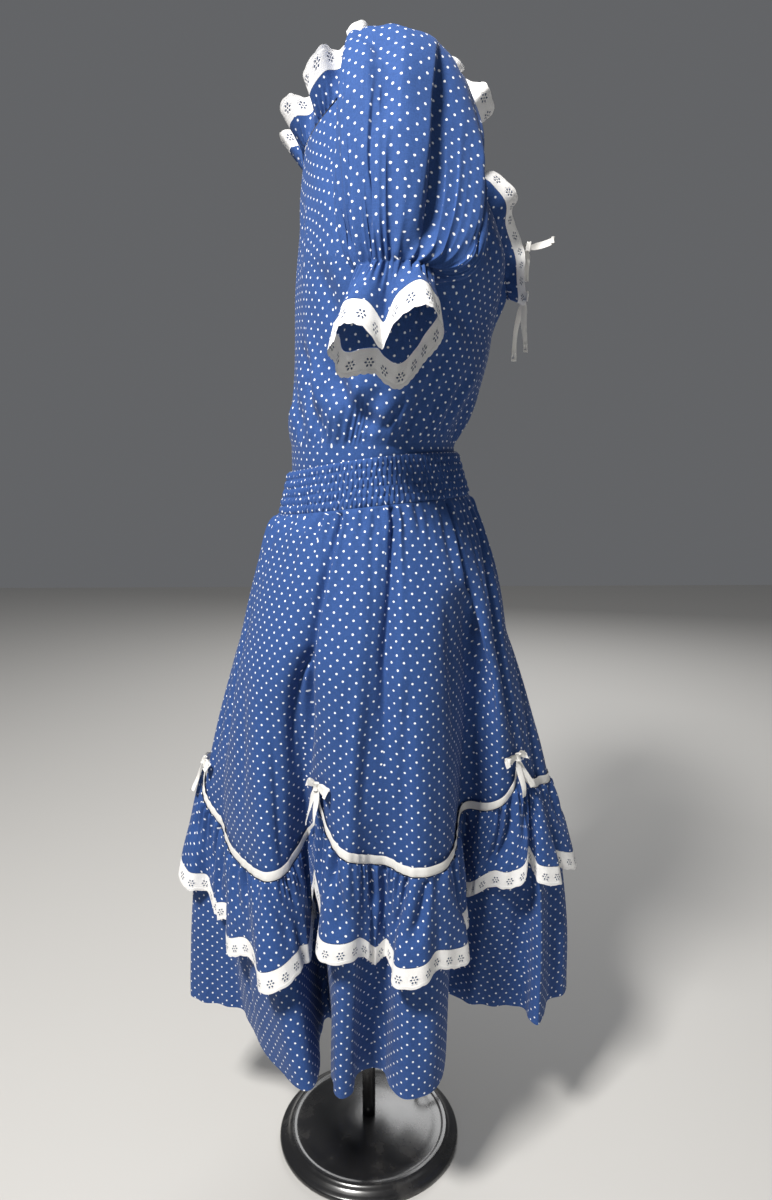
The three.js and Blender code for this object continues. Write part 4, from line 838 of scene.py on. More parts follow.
# ------------------------------------------------------------------ waistband
BAND_HEIGHT = 44
BAND_ROWS = 5                  # spaces between its elastic lines
BAND_PUCKERS = 128
BAND_GATHER, BAND_CUT = 1.28, 1.1        # how much wider its cloth and its cut are
BAND_BACK, BAND_FRONT, BAND_SIDE = (-91.5, 10.5), (108.5, -13), (129, -7.5)    # foot, then rise


def band_point(bearing, rise, lift):
    b = np.radians(bearing)
    back, front, side = (foot + more * rise for foot, more in (BAND_BACK, BAND_FRONT, BAND_SIDE))
    flare = np.stack([(front - back) / 2 * np.sin(b), -side * np.cos(b)], axis=-1)
    size = np.linalg.norm(flare, axis=-1, keepdims=True)
    xy = flare * (size + lift[..., None]) / size
    z = band_bottom(bearing) + BAND_HEIGHT * rise
    return np.stack([xy[..., 0] + (back + front) / 2, xy[..., 1], z], axis=-1)


def waistband_points(columns, rows):
    u = np.arange(columns)[None, :] / columns
    u, rise = np.broadcast_arrays(u, np.linspace(1, 0, rows)[:, None])
    line = rise * BAND_ROWS
    band = np.floor(np.clip(line, 0, BAND_ROWS - 0.001))
    swell = np.sin(np.pi * np.clip(line - band, 0, 1)) ** 0.7
    phase = 1.1 * drift(u, 31, 34) + 0.55 * np.sin(band * 2.1 + TAU * 9 * u)
    wave = 0.5 + 0.5 * np.sin(TAU * BAND_PUCKERS * u + 2.4 * phase)
    size = 0.75 + 0.45 * hash01(np.floor(u * BAND_PUCKERS) + 7 * band, 32)
    edge = smooth(np.minimum(rise, 1 - rise) * BAND_HEIGHT / 4 + 0.15)
    lift = 0.1 + 2.0 * (0.62 + 0.38 * swell) * wave * size * edge
    return band_point(-90 + 360 * u, rise, lift + (0.5 * drift(u, 33, 61) + 0.4) * swell)


part = waistband_points(full_or(1280), full_or(46))
uv = tube_uv(part, 20, BAND_GATHER)
cloth_piece("waistband", COTTON, part, uv, closed=True)

# ------------------------------------------------------------------ blouse
# z, back, front, side
BLOUSE_RINGS = np.array([
    (794, -78.6, 92.4, 119.2), (838, -78.6, 92.8, 119.2), (852, -79.5, 98.5, 124),
    (866, -79.0, 105.0, 128), (896, -75.5, 116.5, 133), (926, -73.0, 125.0, 139),
    (955, -72.0, 130.0, 146), (984, -71.5, 139.0, 153), (1013, -70.0, 147.0, 158),
    (1042, -68.0, 142.0, 158), (1070, -66.5, 132.0, 154), (1098, -64.0, 119.0, 148),
    (1130, -60.0, 103.0, 136), (1170, -50.0, 84.0, 118),
], float)
# bearing, x, y, z: upper edge of the blouse on the wearer's right, back to front
BLOUSE_EDGE = np.array([
    (-90, -61, 0, 1112), (-62, -57, -40, 1118), (-42, -43, -72, 1130), (-24, -12, -98, 1154),
    (-19, -17, -122, 1106), (-15, -16, -140, 1056), (-8, -6, -152, 1016), (0, 16, -157, 1001),
    (12, 46, -153, 1016), (23, 70, -138, 1056), (34, 82, -112, 1098), (45, 78, -84, 1130),
    (62, 104, -54, 1088), (78, 132, -26, 1034), (90, 146, 0, 988),
], float)
EDGE_LAST = len(BLOUSE_EDGE) - 1
EDGE_LOOP = np.concatenate([BLOUSE_EDGE[:, 1:], BLOUSE_EDGE[-2:0:-1, 1:] * (1, -1, 1)])
SIDE_ROW = 7                   # edge row over the side seam
TUCK_Z, BLOUSE_FOOT_Z = 838, 794
EDGE_EASE = 0.45               # share of its height over which it draws to the edge
edge_places = np.arange(-EDGE_LAST, 2 * EDGE_LAST + 1.0)
edge_right = BLOUSE_EDGE[:, 0]
edge_bearings = np.concatenate([-180 - edge_right[:0:-1], edge_right, 180 - edge_right[-2::-1]])


def edge_bearing(position):
    return soft_line(edge_places, edge_bearings, position)


# Bearing, width, depth, low, high: the solid's folds over the band
BLOUSE_FOLDS = [
    (-58, 9, 5, 840, 905), (-36, 8, 4, 839, 880), (-8, 8, 5, 839, 892), (26, 9, 4, 840, 900),
    (62, 10, 4, 840, 900), (118, 10, 4, 840, 896), (152, 8, 5, 839, 900), (186, 8, 4, 839, 884),
    (214, 8, 5, 840, 905), (246, 9, 4, 840, 890),
]
# Bearings of the creases that the cloth is laid between.
BLOUSE_GORES = (-126, -98, -58, -36, -8, 26, 62, 118, 152, 186)
# Soft creases: bearing and z at each end, depth, width in millimetres.
BLOUSE_CREASES = [
    (-34, 846, -66, 935, 4.6, 9), (-12, 843, -36, 925, 4.0, 8), (-52, 850, -82, 905, 2.2, 8),
    (2, 850, -16, 884, 3.6, 7), (4, 841, 10, 888, 2.4, 6), (14, 841, 30, 930, 2.6, 8),
    (40, 842, 52, 915, 2.8, 8), (8, 900, -28, 965, 2.0, 10), (-26, 935, -56, 1010, 2.2, 10),
    (-22, 985, -20, 1060, 2.4, 6), (20, 985, 46, 930, 2.2, 9), (54, 1000, 30, 1040, 2.0, 8),
    (74, 842, 78, 900, 2.4, 7), (98, 842, 94, 905, 2.4, 7), (130, 842, 122, 925, 2.8, 8),
    (146, 930, 132, 990, 2.2, 9), (160, 985, 138, 935, 2.0, 9), (172, 841, 168, 900, 2.6, 7),
    (200, 841, 206, 915, 2.8, 8), (222, 842, 244, 930, 3.0, 9), (232, 900, 250, 975, 2.0, 10),
    (-84, 842, -80, 890, 2.4, 7), (258, 842, 262, 895, 2.4, 7), (-74, 1000, -60, 1075, 1.8, 9),
    (252, 1010, 240, 1080, 1.8, 9),
]
BLOUSE_GATHERS = 76
DEGREE_MM = 2.2                # millimetres round the blouse to one degree
CREASE_DEEP, CREASE_RIDGE = 1.6, 0.6     # times the depth in the table
BLOUSE_CLEAR, LEAST_SINK = 1.6, 0.3      # kept from the form, and how far a fold sinks anyway

# The blouse swells over the band between its creases: bearing, z, reach round (degrees), reach
# up and down, and height in millimetres.
BLOUSE_SWELLS = [
    (-68, 872, 8, 20, 4.0), (-48, 884, 8, 24, 4.5), (-28, 868, 8, 18, 4.5), (-14, 892, 8, 26, 4.0),
    (4, 870, 7, 18, 4.5), (20, 892, 8, 26, 4.0), (38, 872, 7, 20, 4.5), (56, 896, 9, 24, 4.0),
    (76, 872, 8, 20, 4.0), (104, 876, 9, 22, 4.0), (128, 892, 8, 24, 4.5), (144, 868, 8, 18, 4.0),
    (164, 886, 8, 24, 4.5), (182, 870, 8, 18, 4.0), (200, 894, 8, 26, 4.5), (222, 872, 8, 20, 4.0),
    (240, 886, 8, 24, 4.0), (258, 872, 8, 20, 3.6),
]

# z, back, front, side
FORM_RINGS = np.array([
    (640, -76, 92, 118), (700, -78, 94, 122), (760, -76, 88, 118), (794, -76.4, 90.0, 116.9),
    (838, -76.4, 90.4, 116.9), (880, -70, 96, 117), (940, -66, 112, 128), (1005, -64, 124, 134),
    (1060, -60, 108, 124), (1100, -54, 84, 108), (1128, -44, 60, 86), (1146, -34, 42, 56),
    (1168, -30, 32, 40),
], float)


def blouse_relief(bearing, z):
    height = np.zeros(np.broadcast(bearing, z).shape)
    for centre, wide, deep, low, high in BLOUSE_FOLDS:
        run = np.clip((z - low) / (high - low), 0, 1)
        height -= deep * bell((bearing - centre) / wide) * np.sin(np.pi * run)
    for b0, z0, b1, z1, deep, wide in BLOUSE_CREASES:
        ahead = np.array([(b1 - b0) * DEGREE_MM, z1 - z0])
        reach = np.hypot(*ahead)
        ahead = ahead / reach
        x, y = (bearing - b0) * DEGREE_MM, z - z0
        run = np.clip((x * ahead[0] + y * ahead[1]) / reach, 0, 1)
        off = (x * ahead[1] - y * ahead[0] - 4.5 * np.sin(run * 4.2 + b0)) / wide
        profile = CREASE_RIDGE * bell(off - 1.9) - CREASE_DEEP * bell(off)
        height += deep * np.sin(np.pi * run) * profile
    for b0, z0, wide, tall, high in BLOUSE_SWELLS:
        off = (bearing - b0 - (z - z0) * 0.12) / wide
        height += high * bell(off) * bell((z - z0) / tall)
    turn = (bearing + 90) / 360
    above = z - TUCK_Z
    over = smooth((above - 1) / 8) * fall((above - 8) / 46)
    wave = ripple(turn, BLOUSE_GATHERS, 1.2 * drift(turn, 41, 30))
    height += over * 0.9 * wave * (0.7 + 0.5 * drift(turn, 42, 50))
    rumple = 0.9 * drift(turn + z * 0.0004, 43, 36)
    rumple += 0.7 * np.sin(z / 23 + TAU * 3 * turn) * drift(turn, 44, 18)
    return height + smooth((above - 2) / 30) * rumple


def blouse_at(position, rise, creased=1.0):
    """position goes by rows of the upper edge, rise from the tuck (0) to that edge (1). The tail
    under the band has a rise below 0. creased is the share of the folds."""
    bearing = edge_bearing(position)
    edge = loop_line(EDGE_LOOP, position)
    z = TUCK_Z + np.where(rise < 0, TUCK_Z - BLOUSE_FOOT_Z, edge[..., 2] - TUCK_Z) * rise
    body = ring_at(BLOUSE_RINGS, bearing, z)
    gap = np.linalg.norm(body - ring_at(FORM_RINGS, bearing, z), axis=-1)
    relief = np.where(rise < 0, 0, blouse_relief(bearing, z)) * fall((rise - 0.80) / 0.2)
    relief = np.maximum(relief, -np.maximum(LEAST_SINK, gap - BLOUSE_CLEAR))
    b = np.radians(bearing)
    away = np.stack([np.sin(b), -np.cos(b), 0 * b], axis=-1)
    pull = smooth((rise - (1 - EDGE_EASE)) / EDGE_EASE)[..., None]
    shift = edge - ring_at(BLOUSE_RINGS, bearing, edge[..., 2])
    return body + away * (creased * relief)[..., None] + shift * pull


def blouse_panel(node, first, last):
    """The blouse from one row of its edge to another."""
    fine = full_or(26)
    places = np.arange(first * fine, last * fine + 1) / fine
    rises = np.concatenate([np.linspace(1, 0.0, full_or(118)), [-0.25, -0.6, -1]])
    position, rise = np.broadcast_arrays(places[None, :], rises[:, None])
    points = blouse_at(position, rise)
    bounds = np.searchsorted(edge_bearing(places), BLOUSE_GORES)
    tuck_row = int(np.searchsorted(-rises, 0))
    uv = gore_uv(points, blouse_at(position, rise, 0.0), bounds, tuck_row)
    cloth_piece(node, COTTON, points, uv)


blouse_panel("blouse_back", -SIDE_ROW, SIDE_ROW)
blouse_panel("blouse_front", SIDE_ROW, 2 * EDGE_LAST - SIDE_ROW)

# ------------------------------------------------------------------ sleeves
ARM_FIRST, ARM_LAST = 3, 11    # rows of the blouse's edge that the sleeve is sewn to
SHOULDER = [(60, -98, 1148), (36, -105, 1158), (10, -104, 1160)]     # from there along the neck
SLEEVE_ROWS = np.concatenate([BLOUSE_EDGE[ARM_FIRST:ARM_LAST + 1, 1:], SHOULDER])
SLEEVE_COUNT = len(SLEEVE_ROWS)
UNDERARM_ROW = 4
# x, y, z, wide, deep, tilt of the elastic, the flounce's seam and its lace's hem
CUFF = np.array([23, -196, 979, 30, 20, 5], float)
FLOUNCE = np.array([16, -200, 937, 41, 28, 20], float)
SLEEVE_HEM = np.array([14, -203, 910, 45, 31, 29], float)
PUFF_UP, PUFF_OUT, PUFF_DROOP, PUFF_LOBE, LOBE_DROP = 78, 92, 66, 50, 26
SLEEVE_LACE = 21
ARMHOLE_MIDDLE = np.array([22, -122, 1085], float)
UNDERARM_OUT, UNDERARM_DOWN = 14, 16     # how the puff leaves the armhole under the arm
UNDERARM_DROOP = 10
HEAD_Z, HEAD_REACH = 1010, 150           # where the sleeve's head comes in, and over how much
CUFF_LOBES, CUFF_GATHERS = 11, 26
FLOUNCE_SPREAD, HEM_SPREAD = 0.9, 1.1    # shares of the edge's table at its seam and its hem
SEAM_IN, SEAM_OUT = 1.2, 1.1             # from the blouse's edge to the sleeve's


def sleeve_start(turn):
    return loop_line(SLEEVE_ROWS, (turn - np.floor(turn)) * SLEEVE_COUNT)


def sleeve_angle(turn):
    """Turns round the arm, from 0 at the body."""
    return turn - UNDERARM_ROW / SLEEVE_COUNT


def ring_point(turn, ring, wider):
    """A point of a tilted oval, made wider by a share."""
    angle = TAU * sleeve_angle(turn)
    size = 1 + wider
    return np.stack([
        ring[..., 0] + ring[..., 3] * size * np.sin(angle),
        ring[..., 1] + ring[..., 4] * size * np.cos(angle),
        ring[..., 2] - ring[..., 5] * np.cos(angle),
    ], axis=-1)


def cuff_lobes(turn):
    return np.cos(TAU * CUFF_LOBES * turn)


def cuff_wave(turn):
    return ripple(turn, CUFF_GATHERS, 0.8 * drift(turn, 51, 13))


def cuff_gathers(turn):
    fine = 0.016 * ripple(turn, 47, drift(turn, 52, 21))
    return 0.05 * cuff_lobes(turn) + 0.035 * cuff_wave(turn) + fine


def puff_point(turn, down):
    """The puff without its creases: a curve from the armhole (0) to the elastic (1)."""
    start = sleeve_start(turn)
    end = ring_point(turn, CUFF, cuff_gathers(turn))
    plain = ring_point(turn, CUFF, 0.012 * cuff_lobes(turn))
    head = np.clip((start[..., 2] - HEAD_Z) / HEAD_REACH, 0, 1)
    ahead, aside = (plain - CUFF[:3])[..., 0], (plain - CUFF[:3])[..., 1]
    first = start + np.stack([
        np.maximum(0, ahead) * 0.7 * head, -(UNDERARM_OUT + (PUFF_OUT - UNDERARM_OUT) * head),
        -UNDERARM_DOWN + (PUFF_UP + UNDERARM_DOWN) * head ** 2,
    ], axis=-1)
    forward = np.clip(ahead / CUFF[3], 0, 1)
    drop = UNDERARM_DROOP + (PUFF_DROOP - UNDERARM_DROOP) * head
    lobe = drop + (-LOBE_DROP - drop) * forward
    second = plain + np.stack([ahead + PUFF_LOBE * forward, aside * 0.9, lobe], axis=-1)
    t = down[..., None]
    s = 1 - t
    return start * s ** 3 + first * 3 * s * s * t + second * 3 * s * t * t + end * t ** 3


# The flounce's edge: angle round (0 at the body, 90 at the front), how much wider and higher.
FLOUNCE_EDGE = np.array([
    (0, 0.06, -2), (14, 0.22, -9), (36, 0.08, 0), (56, -0.04, 6), (76, 0.06, 12), (98, 0.10, 14),
    (122, 0.12, 13), (146, 0.26, 15), (166, 0.02, 2), (184, -0.44, -22), (204, 0.0, -3),
    (222, 0.14, 1), (246, 0.0, -3), (270, 0.04, -2), (292, 0.0, 0), (314, 0.16, -5), (336, 0.02, 3),
    (350, -0.08, 5),
], float)
WHOLE_TURN = (360, 0, 0)
WRAPPED_EDGE = np.concatenate([
    FLOUNCE_EDGE[-3:] - WHOLE_TURN, FLOUNCE_EDGE, FLOUNCE_EDGE[:3] + WHOLE_TURN,
])


def flounce_edge(turn, column):
    angle = np.mod(360 * sleeve_angle(turn), 360)
    return soft_line(WRAPPED_EDGE[:, 0], WRAPPED_EDGE[:, column], angle)


def flounce_point(turn, down):
    ring = CUFF + (FLOUNCE - CUFF) * down[..., None]
    spread = FLOUNCE_SPREAD * flounce_edge(turn, 1) * down ** 0.8
    point = ring_point(turn, ring, cuff_gathers(turn) * fall(down / 0.8) + spread)
    point[..., 2] += FLOUNCE_SPREAD * down * flounce_edge(turn, 2)
    return point


def seam_shift(turn):
    here = sleeve_start(turn)
    ahead = unit(sleeve_start(turn + 0.012) - sleeve_start(turn - 0.012))
    out = unit((here - ARMHOLE_MIDDLE * (1, 0, 0)) * (1, 1, 0))
    inward = unit(np.cross(ahead, out))
    side = np.sign((inward * (ARMHOLE_MIDDLE - here)).sum(axis=-1, keepdims=True))
    return inward * side * SEAM_IN + out * SEAM_OUT


def sleeve_at(turn, down):
    """down goes from the armhole (0) to the elastic (1), the flounce's seam (2) and the lace's
    edge (3)."""
    puff = puff_point(turn, np.clip(down, 0, 1)) + seam_shift(turn) * fall(down / 0.16)[..., None]
    low = flounce_point(turn, np.clip(down - 1, 0, 1))
    seam_point = flounce_point(turn, np.ones_like(turn))
    hem = ring_point(turn, SLEEVE_HEM, HEM_SPREAD * flounce_edge(turn + 0.008, 1))
    hem[..., 2] += HEM_SPREAD * flounce_edge(turn + 0.012, 2)
    d = down[..., None]
    lace_point = seam_point + unit(hem - seam_point) * SLEEVE_LACE * np.clip(d - 2, 0, 1)
    return np.where(d <= 1, puff, np.where(d <= 2, low, lace_point))


# Creases of the puff: turn and way down at each end, depth, width in millimetres.
SLEEVE_CREASES = [
    (0.86, 0.34, 0.88, 0.66, 3.4, 8), (0.90, 0.14, 0.90, 0.60, 3.2, 9),
    (0.02, 0.16, 0.10, 0.62, 3.4, 9), (0.97, 0.55, 0.02, 0.96, 3.2, 6),
    (0.12, 0.50, 0.16, 0.97, 3.0, 6), (0.86, 0.62, 0.84, 0.97, 3.0, 6),
    (0.70, 0.20, 0.60, 0.55, 3.6, 9), (0.56, 0.30, 0.50, 0.80, 3.4, 9),
    (0.42, 0.40, 0.40, 0.94, 2.6, 7), (0.24, 0.30, 0.24, 0.90, 2.6, 8),
    (0.92, 0.72, 0.93, 0.98, 2.4, 5), (0.06, 0.74, 0.05, 0.98, 2.4, 5),
    (0.76, 0.60, 0.78, 0.97, 2.8, 6), (0.64, 0.66, 0.66, 0.97, 2.6, 6),
    (0.98, 0.06, 0.95, 0.34, 2.4, 5), (0.85, 0.05, 0.83, 0.30, 2.2, 9),
    (0.73, 0.05, 0.72, 0.28, 2.2, 5), (0.71, 0.0, 0.70, 0.48, -8.5, 36),
    (0.955, 0.30, 0.880, 0.46, 5.0, 9), (0.905, 0.47, 0.845, 0.64, 5.0, 9),
]
HEAD_GATHERS = 44

# Folds with one sharp side: turn at the top and bottom, start and end down, depth, and how many
# degrees round the far side takes to come back. A negative reach lies on the other side.
SLEEVE_STEPS = [
    (0.778, 0.780, 0.18, 0.94, 14, 50), (0.905, 0.93, 0.50, 0.93, 4, 22),
    (0.58, 0.60, 0.20, 0.80, 6, -26), (0.30, 0.28, 0.25, 0.85, 6, 24),
]


def sleeve_relief(turn, down):
    height = np.zeros(np.broadcast(turn, down).shape)
    for t0, d0, t1, d1, deep, wide in SLEEVE_CREASES:
        lean = t1 - t0 - np.round(t1 - t0)
        run = np.clip((down - d0) / (d1 - d0), 0, 1)
        middle = t0 + lean * run + 0.006 * np.sin(run * 5 + t0 * 9)
        off = circle_gap(turn, middle) * 360 / wide
        height -= deep * bell(off) * np.sin(np.pi * run) ** 0.7
    for top, low, start, end, deep, reach in SLEEVE_STEPS:
        run = np.clip((down - start) / (end - start), 0, 1)
        off = circle_gap(turn, top + (low - top) * run) * -360 / reach
        side = smooth((off + 0.04) / 0.13) * fall((off - 0.1) / 0.9)
        height -= deep * side * smooth(run / 0.35) * fall((run - 0.75) / 0.25)
    near_cuff = smooth((down - 0.80) / 0.20) * (down <= 1) * fall((down - 0.985) / 0.015)
    height += near_cuff * (1.0 + 0.6 * drift(turn, 57, 11)) * cuff_wave(turn)
    near_head = fall((down - 0.02) / 0.20) * smooth(down / 0.02)
    height += near_head * 0.35 * ripple(turn, HEAD_GATHERS, drift(turn, 53, 22))
    rumple = 1.3 * drift(turn + 0.05 * np.sin(down * 6), 54, 19)
    rumple += 0.8 * np.sin(down * 14 + TAU * 2 * turn) * drift(turn, 55, 9)
    height += smooth(down / 0.1) * fall((down - 0.9) / 0.1) * rumple
    below = smooth((down - 1.0) / 0.03) * fall((down - 1.05) / 0.55)
    return height + below * ripple(turn, 31, 0.8 * drift(turn, 56, 17))


def sleeve_outward(points):
    """Outward normals of the sleeve's closed grid, which runs clockwise seen from above."""
    across = np.roll(points, -1, axis=1) - np.roll(points, 1, axis=1)
    return unit(np.cross(across, np.gradient(points, axis=0)))


SLEEVE_GORES = (0.11, 0.24, 0.41, 0.5, 0.64, 0.815, 0.92)     # turns of the puff's own creases
SLEEVE_GRAIN = 0.45            # how far down its cloth runs on across them
SLEEVE_LACE_ROWS = 16
SLEEVE_SCALLOPS, SLEEVE_SCALLOP = 46, 1.1
SLEEVE_EYELET = lace("sleeve_lace", SLEEVE_LACE * MM)


def sleeve(side, suffix):
    """A sleeve and its lace. side is 1 on the wearer's right and -1 on the left."""
    columns = full_or(396)
    rows = np.concatenate([
        np.linspace(0, 0.8, 56)[:-1], np.linspace(0.8, 1, 22)[:-1], np.linspace(1, 1.3, 14)[:-1],
        np.linspace(1.3, 2, 18),
    ])
    cut = len(rows)
    rows = np.concatenate([rows, np.linspace(2.015, 3, SLEEVE_LACE_ROWS)])
    turn, down = np.broadcast_arrays(np.arange(columns)[None, :] / columns, rows[:, None])
    plain = sleeve_at(turn, down)
    points = plain + sleeve_outward(plain) * sleeve_relief(turn, down)[..., None]
    scallop = SLEEVE_SCALLOP * np.abs(np.sin(np.pi * SLEEVE_SCALLOPS * turn))
    points[..., 2] -= smooth((down - 2.7) / 0.3) * scallop
    points = points * (1, side, 1)
    node, seat = f"sleeve_{suffix}", ["blouse_back_cloth", "blouse_front_cloth"]
    bounds = [round(share * columns) for share in SLEEVE_GORES]
    uv = gore_uv(points[:cut], plain[:cut], bounds, int(cut * SLEEVE_GRAIN), closed=True)
    cloth_piece(node, COTTON, points[:cut], uv, closed=True, flip=side < 0)
    part, seat = points[cut:], [f"{node}_cloth"]
    uv = tube_uv(part, SLEEVE_LACE_ROWS // 2, depth=SLEEVE_LACE)
    node = f"sleeve_lace_{suffix}"
    cloth_piece(node, SLEEVE_EYELET, part, uv, closed=True, flip=side < 0)


sleeve(1, "right")
sleeve(-1, "left")

# ------------------------------------------------------------------ neck ruffle
# The ruffle's foot, from the back to the front. At each of its rows the way that the ruffle
# stands out, and the share of its depth shown.
NECK_FOOT = np.concatenate([
    BLOUSE_EDGE[:ARM_FIRST + 1, 1:], SHOULDER[::-1], BLOUSE_EDGE[ARM_LAST:, 1:],
])
NECK_RIGHT = np.hstack([NECK_FOOT, [
    (-0.32, 0.00, 0.94, 0.80), (-0.20, -0.20, 0.96, 0.85), (-0.08, -0.20, 0.97, 0.85),
    (-0.06, 0.10, 0.99, 0.95), (0.02, 0.60, 0.80, 0.90), (0.10, 0.75, 0.66, 0.85),
    (0.45, 0.55, 0.70, 0.90), (0.68, 0.25, 0.70, 1.00), (0.35, 0.55, 0.76, 0.55),
    (0.72, 0.10, 0.68, 0.72), (0.96, 0.00, 0.10, 0.28),
]])
NECK_LOOP = np.concatenate([NECK_RIGHT, NECK_RIGHT[-2:0:-1] * (1, -1, 1, 1, -1, 1, 1)])
NECK_RUFFLE, NECK_LACE, NECK_WAVES, NECK_SWING = 26, 19, 16, 13
NECK_ROWS, NECK_LACE_ROWS = 16, 14
NECK_SCALLOPS = 150
NECK_EYELET = lace("neck_lace", NECK_LACE * MM)


def neck_at(u, reach):
    """A point of the ruffle and its lace, u round from the middle of the back."""
    position = (u - np.floor(u)) * len(NECK_LOOP)
    row = loop_line(NECK_LOOP, position)
    foot = NECK_LOOP[:, :3]
    out = unit(row[..., 3:6])
    ahead = unit(loop_line(foot, position + 0.4) - loop_line(foot, position - 0.4))
    flap = unit(np.cross(out, ahead))
    spread = np.clip(reach / (NECK_RUFFLE + NECK_LACE), 0, 1)
    wave = np.sin(TAU * NECK_WAVES * u)
    curl = np.sin(2 * TAU * NECK_WAVES * u)
    fine = ripple(u, 118, 0.8 * drift(u, 61, 40)) * fall(spread / 0.5) * smooth(spread / 0.03)
    small = 0.9 * ripple(u, 53, 0.5 * drift(u, 62, 30)) * spread
    size = 1 + 0.24 * drift(u, 63, 16)
    swing = NECK_SWING * wave * spread ** 0.85 * size + fine + small
    along = -5.2 * curl * spread ** 1.2
    height = 1.0 + reach * row[..., 6] * (1 + 0.10 * drift(u, 64, 23)) - 2.2 * spread * curl
    shift = out * height[..., None] + flap * swing[..., None] + ahead * along[..., None]
    return row[..., :3] + shift


def neck_pieces(start, suffix):
    """The ruffle and its lace over half a turn of the neck."""
    u = start + np.linspace(0, 0.5, full_or(760))[None, :]
    lace_reaches = np.linspace(NECK_RUFFLE + 0.35, NECK_RUFFLE + NECK_LACE, NECK_LACE_ROWS)
    reaches = np.concatenate([np.linspace(0, NECK_RUFFLE, NECK_ROWS), lace_reaches])
    u, reach = np.broadcast_arrays(u, reaches[:, None])
    edge = smooth((reach - NECK_RUFFLE - 13) / 6)
    scallop = 0.9 * (np.abs(np.sin(np.pi * NECK_SCALLOPS * u)) - 0.5)
    points = neck_at(u, reach + edge * scallop)
    node, part = f"neck_ruffle_{suffix}", points[:NECK_ROWS]
    cloth_piece(node, COTTON, part, strip_uv(part, -3))
    seat, part = [f"{node}_cloth"], points[NECK_ROWS:]
    uv = strip_uv(part, NECK_LACE_ROWS // 2, NECK_LACE)
    cloth_piece(f"neck_lace_{suffix}", NECK_EYELET, part, uv)


neck_pieces(0, "right")
neck_pieces(0.5, "left")

# ------------------------------------------------------------------ bows
BOW_RIBBON = 8.4
STRIP_ROWS, LOOP_STEPS, TAIL_STEPS, KNOT_STEPS = 7, 44, 40, 30
KNOT_SIZE, KNOT_WIDTH, KNOT_HEIGHT = 4.0, 7.4, 4.2
END_SIZE, END_WIDTH = 2.6, 6.0           # of the small knot at the end of a front bow's tail
FRONT_BOW_TURN = 1.2           # radians that a front bow's tails are turned edge-on


def strip(name, path, beside, width, crown=0.25):
    """A ribbon along a path. Its width is laid towards a second path beside the first."""
    across = unit(beside - path)
    side = np.linspace(-0.5, 0.5, STRIP_ROWS)[:, None, None]
    normal = unit(np.cross(np.gradient(path, axis=0), across))
    points = path[None] + across[None] * (np.reshape(width, (1, -1, 1)) * side)
    points = points + normal[None] * (crown * (1 - (2 * side) ** 2))
    piece = grid_mesh(name, points, strip_uv(points, STRIP_ROWS // 2))
    piece.data.materials.append(RIBBON[1])
    return piece


def ribbon_knot(name, guide, middle, size, width):
    """A turn of ribbon round a place (a, b, h) of the guide."""
    t = np.linspace(0, TAU, KNOT_STEPS)
    a, b, h = middle
    a, h = a + size * np.sin(t), h + 0.75 * size * np.cos(t)
    return strip(name, guide(a, b - 0.4, h), guide(a, b + 0.6, h), width, crown=0.8)


def bow_loop(name, guide, side, seed):
    t = np.linspace(0, 1, LOOP_STEPS)
    droop = 5.0 + 2.5 * hash01(seed, 71 + side)
    reach = 20.5 + 1.8 * hash01(seed, 73 + side)
    a = side * reach * np.sin(np.pi * t) ** 0.62
    b = -1.5 + droop * np.sin(np.pi * t) ** 1.4 * 0.8
    h = 3.3 + 2.5 * np.cos(np.pi * t) * np.sin(np.pi * t) ** 0.5
    width = BOW_RIBBON * (0.42 + 0.58 * smooth(np.abs(a) / 11))
    return strip(name, guide(a, b, h), guide(a, b + 1.0, h + 0.10 * side), width)


def bow_tail(name, guide, tail, index, seed, facing):
    """A tail (lean, length, reach forward), and the place of its end."""
    lean, length, forward = tail
    t = np.linspace(0, 1, TAIL_STEPS)
    a = lean * t + 1.5 * np.sin(t * 5 + seed + index) * t + np.sign(lean) * 1.2
    b = length * t
    h = 2.4 + 0.5 * index + 0.8 * np.sin(t * 6 + seed) + forward * np.sin(t * np.pi / 2)
    width = BOW_RIBBON * 0.80 * (0.55 + 0.45 * smooth(t / 0.25))
    angle = facing + 0.35 * np.sin(t * 4 + seed * 1.7 + index)
    if abs(forward) > abs(length):
        beside = guide(a + np.cos(angle), b + 1.0, h)
    else:
        beside = guide(a + np.cos(angle), b, h + np.sin(angle))
    return strip(name, guide(a, b, h), beside, width), (a[-4], b[-4], h[-4])


def tied_bow(node, guide, tails, seed, facing=0.0):
    """Loops, knot and tails of a bow over a guide(a, b, h). The tails show their width across the
    guide (facing 0) or along its height (facing a quarter turn)."""
    name = f"{node}_ribbon"
    parts = [bow_loop(f"{name}_loop_{side}", guide, side, seed) for side in (-1, 1)]
    for index, tail in enumerate(tails):
        piece, end = bow_tail(f"{name}_tail_{index}", guide, tail, index, seed, facing)
        parts.append(piece)
        if facing:
            parts.append(ribbon_knot(f"{name}_end_{index}", guide, end, END_SIZE, END_WIDTH))
    middle = (0, 0, KNOT_HEIGHT)
    parts.append(ribbon_knot(f"{name}_knot", guide, middle, KNOT_SIZE, KNOT_WIDTH))
    bpy.ops.object.select_all(action="DESELECT")
    for part in parts:
        part.select_set(True)
    bow = bpy.context.view_layer.objects.active = parts[0]
    bpy.ops.object.join()
    bow.name = name
    stand_for(bow, node)


